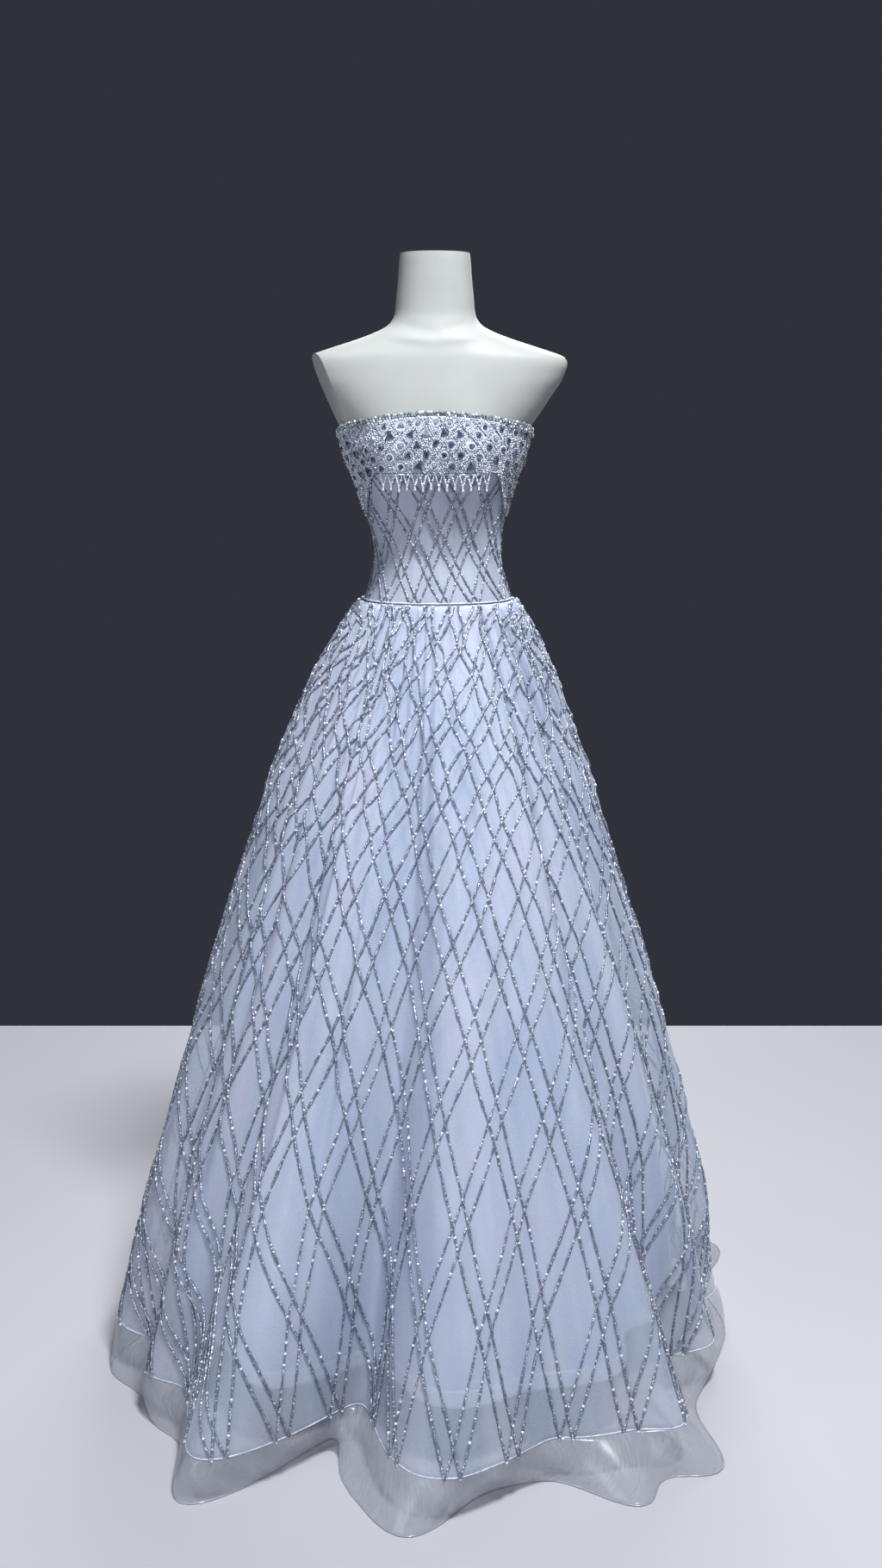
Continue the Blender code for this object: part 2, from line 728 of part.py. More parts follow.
def slider_lug(side):
    def make(work):
        inner = TAB_WIDTH / 2 + SEAM_GAP
        ends = sorted((side * inner, side * (inner + LUG_THICKNESS)))
        reach = PIN_STAND_OFF + 2 * PIN_RADIUS
        box(
            work,
            (ends[0], slider_outer - SLIDER_SIZE[1] / 2, SLIDER_HEIGHT - 2 * PIN_RADIUS),
            (ends[1], slider_outer + reach, SLIDER_HEIGHT + 2 * PIN_RADIUS),
        )

    return make


def slider_pin(work):
    across_rod(work, PIN_RADIUS, TAB_WIDTH / 2 + SEAM_GAP + LUG_THICKNESS / 2, pin_centre, ROUND_SIDES)


def hide_helper(helper):
    helper.hide_render = True
    helper.display_type = "WIRE"


def join_with(target, helper, name):
    hide_helper(helper)
    union = target.modifiers.new(name, "BOOLEAN")
    union.operation = "UNION"
    union.object = helper


def pull_tab(work):
    """A round eye and a flat tab below it, drawn in profile and extruded across."""
    half = TAB_THICKNESS / 2
    start = math.asin(half / EYE_OUTER)
    outline = []
    for i in range(ROUND_SIDES + 1):
        angle = -math.pi / 2 + start + (2 * math.pi - 2 * start) * i / ROUND_SIDES
        outline.append((EYE_OUTER * math.cos(angle), EYE_OUTER * math.sin(angle)))
    outline += [(-half, -TAB_LENGTH), (half, -TAB_LENGTH)]
    sides = []
    for across in (-TAB_WIDTH / 2, TAB_WIDTH / 2):
        sides.append([work.verts.new((across, y, z)) for y, z in outline])
    join_rings(work, sides[0], sides[1], closed=True)
    for ring in sides:
        work.faces.new(ring)


def eye_hole(work):
    across_rod(work, EYE_INNER, TAB_WIDTH, (0.0, 0.0, 0.0), ROUND_SIDES)


# The zip's slider stays closed at the top. Its pull tab swings on a pin between two lugs.
slider_face = bodice_radius(CENTRE_BACK, SLIDER_HEIGHT + SLIDER_SIZE[2] / 2) + SEAM_GAP
slider_outer = slider_face + SLIDER_SIZE[1]
pin_centre = (0.0, slider_outer + PIN_STAND_OFF, SLIDER_HEIGHT)


gown_frame = bpy.data.objects.new("gown_frame", None)
bpy.context.scene.collection.objects.link(gown_frame)

form_white = material("form_white", (0.68, 0.70, 0.70), 0.62)
stand_metal = material("stand_metal", (0.55, 0.56, 0.58), 0.35, metallic=1.0)
bodice_cloth = material("bodice_cloth", (0.46, 0.52, 0.68), 0.55)
band_beads = material("band_beads", (0.52, 0.58, 0.70), 0.35)
trim_stones = material("trim_stones", (0.42, 0.47, 0.56), 0.25)
fringe_beads = material("fringe_beads", (0.78, 0.82, 0.90), 0.25)
piping_satin = material("piping_satin", (0.62, 0.67, 0.80), 0.40)
lining_satin = material("lining_satin", (0.45, 0.51, 0.70), 0.38)
overlay_tulle = material("overlay_tulle", (0.47, 0.55, 0.74), 0.60, alpha=0.55)
clear_hem = material("clear_hem", (0.70, 0.74, 0.84), 0.30, alpha=0.30)
zip_metal = material("zip_metal", (0.62, 0.64, 0.68), 0.30, metallic=1.0)

torso = add_object("form_body", form_body, form_white, sharp_angle=50.0)
for cut_name, arm_cut in ARM_CUTS.items():
    block = add_object(cut_name, arm_block(arm_cut), form_white)
    hide_helper(block)
    slice_off = torso.modifiers.new(cut_name, "BOOLEAN")
    slice_off.operation = "DIFFERENCE"
    slice_off.object = block
add_object("stand_pole", stand_pole, stand_metal)
add_object("stand_base", base_plate, stand_metal)

for gown_panel in panels():
    add_object(f"bodice_{gown_panel.name}", bodice_panel(gown_panel), bodice_cloth)
    add_object(
        f"lining_{gown_panel.name}",
        skirt_panel(gown_panel, lining_radius, LINING_ROWS, LINING_COLUMNS),
        lining_satin,
    )
    add_object(
        f"overlay_{gown_panel.name}",
        skirt_panel(gown_panel, overlay_radius, OVERLAY_ROWS, SKIRT_COLUMNS),
        overlay_tulle,
    )
    add_object(f"clear_hem_{gown_panel.name}", hem_panel(gown_panel), clear_hem)
    add_object(
        f"waist_piping_{gown_panel.name}",
        ring_panel(gown_panel, BODY_COLUMNS, piping_profile),
        piping_satin,
    )
    start_inset = ZIP_INSET if gown_panel.start == CENTRE_BACK else 0.0
    end_inset = ZIP_INSET if gown_panel.end == CENTRE_BACK else 0.0
    beaded = Panel(gown_panel.name, gown_panel.start + start_inset, gown_panel.end - end_inset)
    add_object(f"jewel_band_{beaded.name}", band_panel(beaded), band_beads, sharp_angle=12.0)
    add_object(
        f"neckline_trim_{beaded.name}",
        ring_panel(beaded, BAND_COLUMNS, trim_profile),
        trim_stones,
        sharp_angle=12.0,
    )

fringe = add_object("bead_fringe", bead_fringe, fringe_beads)
fringe_wall = fringe.modifiers.new("strand_depth", "SOLIDIFY")
fringe_wall.thickness = FRINGE_DEPTH
fringe_wall.offset = 0.0

slider = add_object("zip_slider", slider_plate, zip_metal)
join_with(slider, add_object("left_lug", slider_lug(-1), zip_metal), "left_lug")
join_with(slider, add_object("right_lug", slider_lug(1), zip_metal), "right_lug")
join_with(slider, add_object("pin", slider_pin, zip_metal), "pin")

tab = add_object("zip_pull_tab", pull_tab, zip_metal, location=pin_centre)
hole = add_object("eye_hole", eye_hole, zip_metal, location=pin_centre)
hide_helper(hole)
eye_cut = tab.modifiers.new("eye", "BOOLEAN")
eye_cut.operation = "DIFFERENCE"
eye_cut.object = hole
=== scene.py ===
import math
from types import SimpleNamespace

import bmesh
import bpy
import numpy as np
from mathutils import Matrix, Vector


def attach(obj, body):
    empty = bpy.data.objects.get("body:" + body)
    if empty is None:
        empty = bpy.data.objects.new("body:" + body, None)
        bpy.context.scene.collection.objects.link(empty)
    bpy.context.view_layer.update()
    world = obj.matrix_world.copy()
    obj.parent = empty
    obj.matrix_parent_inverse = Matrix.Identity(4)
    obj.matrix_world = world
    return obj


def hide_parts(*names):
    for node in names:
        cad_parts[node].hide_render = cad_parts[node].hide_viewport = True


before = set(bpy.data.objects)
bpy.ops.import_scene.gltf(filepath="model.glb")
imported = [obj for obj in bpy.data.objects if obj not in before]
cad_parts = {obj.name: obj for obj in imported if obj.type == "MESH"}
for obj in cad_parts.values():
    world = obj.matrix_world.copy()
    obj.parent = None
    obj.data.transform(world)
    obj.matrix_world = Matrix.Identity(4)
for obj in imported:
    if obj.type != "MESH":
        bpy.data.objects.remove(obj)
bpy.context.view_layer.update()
print("frame loaded")

# Shapes that every piece is cut from: half-axes of the section at each height
shape = dict(roundness=2.15, waistSeam=1.188, overlayHem=0.062, liningHem=0.090)

formSections = (
    (1.740, 0.056, 0.056, 0.052, 0.054),
    (1.700, 0.059, 0.059, 0.054, 0.056),
    (1.668, 0.062, 0.062, 0.056, 0.058),
    (1.642, 0.065, 0.065, 0.059, 0.061),
    (1.628, 0.073, 0.073, 0.063, 0.065),
    (1.618, 0.088, 0.088, 0.067, 0.070),
    (1.605, 0.120, 0.120, 0.072, 0.077),
    (1.588, 0.172, 0.172, 0.078, 0.086),
    (1.574, 0.208, 0.208, 0.083, 0.092),
    (1.545, 0.206, 0.206, 0.091, 0.099),
    (1.510, 0.183, 0.184, 0.100, 0.103),
    (1.480, 0.163, 0.164, 0.106, 0.103),
    (1.456, 0.1485, 0.1485, 0.110, 0.101),
    (1.436, 0.1455, 0.1440, 0.112, 0.099),
    (1.412, 0.1385, 0.1370, 0.111, 0.097),
    (1.380, 0.1245, 0.1255, 0.105, 0.094),
    (1.350, 0.1145, 0.1165, 0.098, 0.090),
    (1.318, 0.1040, 0.1075, 0.091, 0.086),
    (1.285, 0.0955, 0.1025, 0.085, 0.081),
    (1.255, 0.0930, 0.1020, 0.082, 0.079),
    (1.220, 0.1000, 0.1095, 0.087, 0.084),
    (1.188, 0.1110, 0.1190, 0.094, 0.092),
    (1.130, 0.1290, 0.1330, 0.102, 0.107),
    (1.060, 0.1460, 0.1460, 0.107, 0.118),
    (0.990, 0.1500, 0.1500, 0.106, 0.119),
    (0.950, 0.1420, 0.1420, 0.097, 0.109),
    (0.930, 0.1260, 0.1260, 0.084, 0.095),
)
overlaySections = (
    (1.1877, 0.1220, 0.1310, 0.0998, 0.1040),
    (1.176, 0.1300, 0.1380, 0.1045, 0.1120),
    (1.160, 0.1400, 0.1470, 0.1110, 0.1210),
    (1.126, 0.1620, 0.1640, 0.1260, 0.1390),
    (1.071, 0.1930, 0.1900, 0.1520, 0.1670),
    (0.988, 0.2300, 0.2200, 0.1880, 0.2020),
    (0.906, 0.2640, 0.2510, 0.2210, 0.2350),
    (0.796, 0.3010, 0.2860, 0.2640, 0.2760),
    (0.686, 0.3390, 0.3240, 0.3040, 0.3150),
    (0.577, 0.3750, 0.3610, 0.3420, 0.3520),
    (0.400, 0.4260, 0.4050, 0.3970, 0.4060),
    (0.225, 0.4740, 0.4410, 0.4470, 0.4520),
    (0.117, 0.4970, 0.4500, 0.4740, 0.4770),
    (0.062, 0.5110, 0.4620, 0.4880, 0.4920),
)
liningSections = (
    (1.1873, 0.1150, 0.1235, 0.0964, 0.0960),
    (1.160, 0.1300, 0.1350, 0.1040, 0.1090),
    (1.126, 0.1480, 0.1500, 0.1150, 0.1260),
    (1.071, 0.1760, 0.1740, 0.1380, 0.1510),
    (0.906, 0.2420, 0.2300, 0.1980, 0.2110),
    (0.686, 0.3050, 0.2880, 0.2680, 0.2790),
    (0.400, 0.3760, 0.3560, 0.3450, 0.3530),
    (0.200, 0.4160, 0.3900, 0.3870, 0.3930),
    (0.090, 0.4320, 0.4020, 0.4060, 0.4100),
)

# azimuth at the top, azimuth at the hem, half width, reach at the hem, height where it starts
skirtFolds = (
    (-8.0, -17.0, 7.5, -0.126, 1.150),
    (6.0, 1.0, 9.0, 0.040, 0.700),
    (20.0, 20.0, 5.5, -0.024, 0.750),
    (32.0, 41.0, 6.0, 0.046, 0.600),
    (42.0, 55.0, 7.0, -0.066, 1.120),
    (60.0, 77.0, 6.0, -0.048, 1.100),
    (82.0, 104.0, 7.5, -0.062, 1.130),
    (104.0, 128.0, 7.0, -0.078, 1.120),
    (130.0, 148.0, 6.5, -0.054, 1.100),
    (150.0, 164.0, 6.0, -0.070, 1.120),
    (172.0, 182.0, 6.5, -0.046, 1.080),
    (-163.0, -158.0, 7.0, -0.076, 1.120),
    (-138.0, -134.0, 6.5, -0.056, 1.100),
    (-112.0, -112.0, 7.5, -0.074, 1.130),
    (-84.0, -92.0, 5.5, -0.030, 1.000),
    (-62.0, -66.0, 6.0, -0.046, 1.120),
    (-42.0, -50.0, 5.0, -0.030, 1.100),
    (-28.0, -34.0, 6.5, 0.078, 0.520),
)
foldRule = dict(growth=1.25, drift=2.5, liningValley=0.86, liningRidge=0.30, liningWidening=1.45)
gatherRule = dict(count=30, depth=0.0085, seamDepth=0.0035, peak=1.020, spread=0.200)
gatherFront = dict(centre=12.0, halfWidth=34.0, share=0.12)

# waves per turn, drift per metre of height, phase, depth: the small ripples of soft cloth
ripples = (
    (11, 1.3, 0.4, 0.0011),
    (19, -0.9, 1.9, 0.0009),
    (31, 2.1, 3.3, 0.0007),
    (53, -2.7, 5.1, 0.0004),
)

# azimuth, half width, reach beyond the valleys, of each flute of the clear hem
hemFlutes = (
    (-73.0, 9.0, 0.068),
    (-54.0, 10.0, 0.052),
    (-35.5, 8.0, 0.138),
    (-24.0, 5.5, -0.106),
    (-4.0, 8.5, 0.100),
    (30.0, 6.0, 0.104),
    (44.0, 8.0, 0.118),
    (86.0, 10.0, 0.014),
    (116.0, 9.0, 0.100),
    (139.0, 8.0, 0.110),
    (157.0, 7.0, 0.070),
    (175.0, 8.0, 0.112),
    (-169.0, 6.0, 0.070),
    (-147.0, 8.0, 0.104),
    (-124.0, 8.0, 0.116),
    (-101.0, 8.0, 0.074),
)
hemRule = dict(valleyRadius=0.458, bulge=0.006, thickness=0.0006)

# the fine pleats that the waist seam gathers: how many, and the limits of their sizes
pleatRule = dict(count=50, halfWidth=(1.1, 2.2), depth=(0.0035, 0.0085), low=(0.40, 0.90), lean=5.0)
pleatFront = dict(centre=16.0, halfWidth=24.0, share=0.14)

# azimuth at the waist, half width, depth, height where it fades, lean, of the long creases
longCreases = (
    (-21.0, 1.7, -0.011, 0.16, -5.0),
    (-29.5, 1.3, 0.009, 0.10, -6.0),
    (-36.0, 1.6, -0.012, 0.12, -7.0),
    (-48.0, 1.8, -0.011, 0.20, -7.0),
    (-59.0, 1.6, -0.010, 0.14, -6.0),
    (-74.0, 1.8, -0.011, 0.20, -6.0),
    (38.0, 1.7, -0.010, 0.22, 7.0),
    (54.0, 1.7, -0.011, 0.14, 8.0),
    (70.0, 1.6, -0.010, 0.20, 8.0),
)

panels = {
    "front": (-90.0, 90.0),
    "back_right": (90.0, 180.0),
    "back_left": (180.0, 270.0),
}


def smoothTable(rows, step=0.002):
    rows = np.array(rows)
    last = len(rows) - 1
    made = []
    for index in range(last):
        upper, lower = rows[index], rows[index + 1]
        before, after = rows[max(index - 1, 0)], rows[min(index + 2, last)]
        span = upper[0] - lower[0]
        rise = lower[1:] - upper[1:]
        slopeIn = (lower - before)[1:] / (before[0] - lower[0]) * span if index else rise
        slopeOut = (after - upper)[1:] / (upper[0] - after[0]) * span if index + 1 < last else rise
        for t in np.linspace(0, 1, max(int(span / step), 2), endpoint=False):
            values = (
                upper[1:] * (2 * t**3 - 3 * t**2 + 1)
                + slopeIn * (t**3 - 2 * t**2 + t)
                + lower[1:] * (3 * t**2 - 2 * t**3)
                + slopeOut * (t**3 - t**2)
            )
            made.append((upper[0] - span * t, *values))
    made.append(tuple(rows[-1]))
    return np.array(made)[::-1]


formTable = smoothTable(formSections)
overlayTable = smoothTable(overlaySections)
liningTable = smoothTable(liningSections)


def sectionRadius(table, azimuth, height):
    left, right, ahead, behind = (np.interp(height, table[:, 0], table[:, c]) for c in (1, 2, 3, 4))
    across, along = np.sin(np.radians(azimuth)), np.cos(np.radians(azimuth))
    width = np.where(across > 0, right, left)
    depth = np.where(along > 0, ahead, behind)
    power = shape["roundness"]
    return (np.abs(across / width) ** power + np.abs(along / depth) ** power) ** (-1 / power)


def turnBetween(azimuth, other):
    return (azimuth - other + 180.0) % 360.0 - 180.0


def bump(distance, halfWidth):
    return np.exp(-((distance / halfWidth) ** 2))


def smoothStep(t):
    t = np.clip(t, 0.0, 1.0)
    return t * t * (3 - 2 * t)


def at(azimuth, radius, height):
    angle = np.radians(azimuth)
    azimuth, radius, height = np.broadcast_arrays(angle, radius, height)
    return np.stack([radius * np.sin(azimuth), -radius * np.cos(azimuth), height], axis=-1)


# The form: bust, collarbones and shoulder blades on the plain sections
bust = dict(azimuth=29.0, halfWidth=21.0, height=1.418, halfHeight=0.058, rise=0.014)
ease = dict(form=0.0013, cloth=0.0012, band=0.0017, bandWall=0.0014)


def formRadius(azimuth, height):
    cups = sum(bump(turnBetween(azimuth, side * bust["azimuth"]), bust["halfWidth"]) for side in (-1, 1))
    mound = bust["rise"] * cups * bump(height - bust["height"], bust["halfHeight"])
    return sectionRadius(formTable, azimuth, height) + mound


def bodiceRadius(azimuth, height):
    return formRadius(azimuth, height) + ease["form"] + ease["cloth"]


def neckline(azimuth):
    ahead = np.cos(np.radians(azimuth))
    return 1.456 + np.where(ahead > 0, 0.032, -0.006) * ahead


def bandEdge(azimuth):
    turn = np.abs(turnBetween(azimuth, 0.0))
    front = 1.392 + (1.322 - 1.392) * smoothStep((turn - 42.0) / 36.0)
    back = 1.322 + (1.360 - 1.322) * smoothStep((turn - 78.0) / 102.0)
    return np.where(turn < 78.0, front, back)


def bandRadius(azimuth, height):
    radius = bodiceRadius(azimuth, height)
    ahead = np.maximum(np.cos(np.radians(azimuth)), 0.0)
    hang = 0.65 * ahead * (bodiceRadius(azimuth, bust["height"]) - radius)
    return radius + np.where(height < bust["height"], hang, 0.0) + ease["band"]


def bandTop(azimuth, height):
    # towards the side seams the band lies close on the bodice
    close = smoothStep((np.abs(turnBetween(azimuth, 0.0)) - 43.0) / 14.0)
    loose = bandRadius(azimuth, height) - bodiceRadius(azimuth, height) - ease["band"]
    return bandRadius(azimuth, height) - 0.92 * close * loose + ease["bandWall"]


def gathers(azimuth, height):
    rule = gatherRule
    front = bump(turnBetween(azimuth, gatherFront["centre"]), gatherFront["halfWidth"])
    share = 1 - (1 - gatherFront["share"]) * front
    below = rule["depth"] * bump(height - rule["peak"], rule["spread"])
    rise = (height - rule["peak"]) / (shape["waistSeam"] - rule["peak"])
    above = rule["depth"] + (rule["seamDepth"] - rule["depth"]) * rise
    depth = np.where(height > rule["peak"], above, below)
    return depth * share * (0.5 - 0.5 * np.cos(np.radians(rule["count"] * azimuth)))


def folds(azimuth, height, ridgeShare=1.0, valleyShare=1.0, widening=1.0):
    hem, seam = shape["overlayHem"], shape["waistSeam"]
    drop = np.clip((seam - height) / (seam - hem), 0.0, 1.0) ** foldRule["drift"]
    total = 0.0
    for top, low, halfWidth, reach, start in skirtFolds:
        grown = np.clip((start - height) / (start - hem), 0.0, None) ** foldRule["growth"]
        share = ridgeShare if reach > 0 else valleyShare
        centre = top + (low - top) * drop
        total = total + share * reach * grown * bump(turnBetween(azimuth, centre), halfWidth * widening)
    return total


def drawPleats():
    chance = np.random.default_rng(5)
    rule = pleatRule
    made = []
    for index in range(rule["count"]):
        azimuth = 360.0 / rule["count"] * (index + chance.uniform(-0.35, 0.35)) - 180.0
        share = 1 - (1 - pleatFront["share"]) * bump(azimuth - pleatFront["centre"], pleatFront["halfWidth"])
        sizes = [chance.uniform(*rule[key]) for key in ("halfWidth", "depth", "low")]
        made.append((azimuth, sizes[0], sizes[1] * share, sizes[2], chance.uniform(-1, 1) * rule["lean"]))
    return made + list(longCreases)


pleats = drawPleats()


def pleated(azimuth, height):
    total = 0.0
    for centre, halfWidth, depth, low, lean in pleats:
        fade = smoothStep((height - low) / 0.30) * (0.55 + 0.45 * smoothStep((1.188 - height) / 0.04))
        place = centre + lean * (1.188 - height)
        total = total + depth * fade * bump(turnBetween(azimuth, place), halfWidth)
    return total


def rippled(azimuth, height):
    total = 0.0
    for count, drift, phase, depth in ripples:
        total = total + depth * np.sin(np.radians(count * azimuth) + 2 * np.pi * drift * height + phase)
    return total * smoothStep((shape["waistSeam"] - height) / 0.10)


def overlayRadius(azimuth, height):
    base = sectionRadius(overlayTable, azimuth, height) + folds(azimuth, height)
    radius = base - gathers(azimuth, height) + rippled(azimuth, height) + pleated(azimuth, height)
    return np.maximum(radius, liningRadius(azimuth, height) + 0.0024)  # it lies over the lining


def liningRadius(azimuth, height):
    rule = foldRule
    shares = (rule["liningRidge"], rule["liningValley"], rule["liningWidening"])
    base = sectionRadius(liningTable, azimuth, height) + folds(azimuth, height, *shares)
    return base + 0.6 * rippled(azimuth + 17.0, height)


def hemRadius(azimuth, share):
    reach = sum(r * bump(turnBetween(azimuth, a), w) for a, w, r in hemFlutes)
    lower = hemRule["valleyRadius"] + reach
    upper = overlayRadius(azimuth, shape["overlayHem"])
    return upper + (lower - upper) * share + hemRule["bulge"] * np.sin(np.pi * share)


# Node trees for the finishes
def finish(name, **values):
    made = bpy.data.materials.new(name)
    made.use_nodes = True
    shader = made.node_tree.nodes["Principled BSDF"]
    for socket, value in values.items():
        shader.inputs[socket.replace("_", " ")].default_value = value
    return SimpleNamespace(material=made, shader=shader, tree=made.node_tree)


def node(made, kind, **values):
    added = made.tree.nodes.new(kind)
    for key, value in values.items():
        if key in added.inputs:
            added.inputs[key].default_value = value
        else:
            setattr(added, key, value)
    return added


def link(made, source, target):
    made.tree.links.new(source, target)


def placed(made, space="Object", scale=(1.0, 1.0, 1.0), turn=(0.0, 0.0, 0.0)):
    coordinates = node(made, "ShaderNodeTexCoord")
    mapping = node(made, "ShaderNodeMapping", Scale=scale, Rotation=turn)
    link(made, coordinates.outputs[space], mapping.inputs["Vector"])
    return mapping.outputs["Vector"]


def ramp(made, factor, stops):
    added = node(made, "ShaderNodeValToRGB")
    elements = added.color_ramp.elements
    while len(elements) < len(stops):
        elements.new(0.5)
    for element, (position, color) in zip(elements, stops):
        element.position = position
        element.color = (*color, 1.0)
    link(made, factor, added.inputs["Fac"])
    return added.outputs["Color"]


def spread(made, factor, low, high, fromLow=0.3, fromHigh=0.7):
    added = node(made, "ShaderNodeMapRange")
    for socket, value in zip(added.inputs[1:5], (fromLow, fromHigh, low, high)):
        socket.default_value = value
    link(made, factor, added.inputs["Value"])
    return added.outputs["Result"]


def addBump(made, height, strength, distance, before=None):
    added = node(made, "ShaderNodeBump", Strength=strength, Distance=distance)
    link(made, height, added.inputs["Height"])
    if before is not None:
        link(made, before, added.inputs["Normal"])
    link(made, added.outputs["Normal"], made.shader.inputs["Normal"])
    return added.outputs["Normal"]


def noiseOn(made, vector, scale, detail=3.0, roughness=0.55):
    added = node(made, "ShaderNodeTexNoise", Scale=scale, Detail=detail, Roughness=roughness)
    link(made, vector, added.inputs["Vector"])
    return added.outputs["Fac"]


def cellsOn(made, vector, scale, feature="F1", output="Distance"):
    added = node(made, "ShaderNodeTexVoronoi", feature=feature, Scale=scale)
    link(made, vector, added.inputs["Vector"])
    return added.outputs[output]


def streaksOn(made, across, down, detail=2.0):
    # painted light and shade: soft bands that run down the cloth, standing in for the shading of its folds
    turn = node(made, "ShaderNodeAttribute", attribute_name="azimuth")
    height = node(made, "ShaderNodeSeparateXYZ")
    link(made, placed(made), height.inputs["Vector"])
    both = node(made, "ShaderNodeCombineXYZ")
    link(made, turn.outputs["Fac"], both.inputs["X"])
    link(made, height.outputs["Z"], both.inputs["Y"])
    scaled = node(made, "ShaderNodeMapping", Scale=(across, down, 1.0))
    link(made, both.outputs["Vector"], scaled.inputs["Vector"])
    return noiseOn(made, scaled.outputs["Vector"], 1.0, detail)


def mixedIn(made, main, other, share):
    # other is centred on a half, so main keeps its level
    shifted = spread(made, other, -share, share, 0.3, 0.7)
    both = node(made, "ShaderNodeMath", operation="ADD")
    link(made, main, both.inputs[0])
    link(made, shifted, both.inputs[1])
    return both.outputs["Value"]


def formFinish():
    look = dict(light=(0.375, 0.39, 0.382), shade=(0.335, 0.348, 0.344), grain=420.0)
    made = finish("form_skin", Roughness=0.52, Specular_IOR_Level=0.35)
    vector = placed(made)
    soft = noiseOn(made, vector, 5.0, 4.0)
    tones = ramp(made, soft, ((0.35, look["shade"]), (0.6, look["light"])))
    link(made, tones, made.shader.inputs["Base Color"])
    link(made, spread(made, noiseOn(made, vector, 38.0), 0.46, 0.60), made.shader.inputs["Roughness"])
    coarse = addBump(made, noiseOn(made, vector, 26.0, 2.0), 0.05, 0.002)
    addBump(made, noiseOn(made, vector, look["grain"]), 0.10, 0.0004, coarse)
    return made.material


def satinFinish(name, light, shade, roughness=0.40, sheen=0.35):
    weave = dict(warp=1400.0, weft=320.0)
    made = finish(name, Sheen_Weight=sheen, Sheen_Roughness=0.35, Specular_IOR_Level=0.5)
    made.shader.inputs["Sheen Tint"].default_value = (0.80, 0.86, 1.0, 1.0)
    cloth = placed(made, "UV")
    soft = noiseOn(made, placed(made, "Object", (2.2, 2.2, 0.9)), 3.0, 3.0)
    # painted light and shade: fold-shading streaks mixed into the satin's random tone
    soft = mixedIn(made, soft, streaksOn(made, 0.10, 0.9), 0.09)
    link(made, ramp(made, soft, ((0.34, shade), (0.62, light))), made.shader.inputs["Base Color"])
    threads = noiseOn(made, placed(made, "UV", (weave["warp"], weave["weft"], 1.0)), 1.0, 2.0)
    link(made, spread(made, threads, roughness - 0.05, roughness + 0.06), made.shader.inputs["Roughness"])
    rumple = addBump(made, noiseOn(made, cloth, 9.0, 2.0), 0.20, 0.006)
    addBump(made, threads, 0.05, 0.0002, rumple)
    return made.material


def tulleFinish():
    look = dict(cool=(0.53, 0.61, 0.77), light=(0.60, 0.67, 0.80), lilac=(0.645, 0.675, 0.82))
    net = dict(low=0.32, high=0.39, mesh=620.0)
    made = finish("overlay_tulle", Roughness=0.62, Sheen_Weight=0.45, Sheen_Roughness=0.3)
    made.shader.inputs["Sheen Tint"].default_value = (0.86, 0.91, 1.0, 1.0)
    # painted light and shade: long streaks standing in for fold shading, mixed into the tulle's random tone
    shadeBands = streaksOn(made, 0.13, 1.1, 3.0)
    soft = mixedIn(made, noiseOn(made, placed(made, "Object", (2.4, 2.4, 0.7)), 4.0, 4.0), shadeBands, 0.10)
    shades = ((0.36, look["cool"]), (0.50, look["light"]), (0.64, look["lilac"]))
    link(made, ramp(made, soft, shades), made.shader.inputs["Base Color"])
    holes = cellsOn(made, placed(made, "UV"), net["mesh"], "DISTANCE_TO_EDGE")
    threads = spread(made, holes, net["high"], net["low"], 0.02, 0.20)
    # painted shade: streaks of denser and thinner net standing in for the shading of folds
    link(made, mixedIn(made, threads, streaksOn(made, 0.16, 0.8), 0.07), made.shader.inputs["Alpha"])
    addBump(made, noiseOn(made, placed(made, "UV"), 22.0, 3.0), 0.18, 0.003)
    return made.material


def clearFinish(name, alpha, tint):
    made = finish(name, Roughness=0.2, Specular_IOR_Level=0.8, Coat_Weight=0.5, Coat_Roughness=0.12)
    cross = [
        cellsOn(made, placed(made, "UV", (260.0, 36.0, 1.0), (0.0, 0.0, turn)), 1.0) for turn in (0.7, -0.7)
    ]
    both = node(made, "ShaderNodeMath", operation="MINIMUM")
    link(made, cross[0], both.inputs[0])
    link(made, cross[1], both.inputs[1])
    hair = both.outputs["Value"]
    link(made, spread(made, hair, alpha + 0.10, alpha - 0.04, 0.1, 0.6), made.shader.inputs["Alpha"])
    cloudy = noiseOn(made, placed(made), 7.0)
    darker = tuple(0.86 * c for c in tint)
    link(made, ramp(made, cloudy, ((0.3, darker), (0.7, tint))), made.shader.inputs["Base Color"])
    addBump(made, hair, 0.15, 0.0005)
    return made.material


def glitterFinish(name, slate, silver):
    look = dict(grain=620.0, slate=slate, silver=silver, spark=(0.92, 0.95, 1.0))
    made = finish(name, Metallic=0.35, Specular_IOR_Level=0.8)
    grains = cellsOn(made, placed(made), look["grain"], "F1", "Color")
    split = node(made, "ShaderNodeSeparateColor")
    link(made, grains, split.inputs["Color"])
    stops = ((0.0, look["slate"]), (0.45, look["slate"]), (0.80, look["silver"]), (0.97, look["spark"]))
    link(made, ramp(made, split.outputs["Red"], stops), made.shader.inputs["Base Color"])
    link(made, spread(made, split.outputs["Green"], 0.18, 0.5, 0.0, 1.0), made.shader.inputs["Roughness"])
    addBump(made, cellsOn(made, placed(made), look["grain"]), 0.5, 0.0010)
    return made.material


def beadFinish(name, low, high, roughness, metallic=0.0, grain=260.0):
    made = finish(name, Metallic=metallic, Coat_Weight=0.6, Coat_Roughness=0.06, Specular_IOR_Level=0.7)
    tone = cellsOn(made, placed(made), grain, "F1", "Color")
    split = node(made, "ShaderNodeSeparateColor")
    link(made, tone, split.inputs["Color"])
    tones = ramp(made, split.outputs["Red"], ((0.15, low), (0.8, high)))
    link(made, tones, made.shader.inputs["Base Color"])
    gloss = spread(made, split.outputs["Blue"], roughness, roughness + 0.18, 0.0, 1.0)
    link(made, gloss, made.shader.inputs["Roughness"])
    return made.material


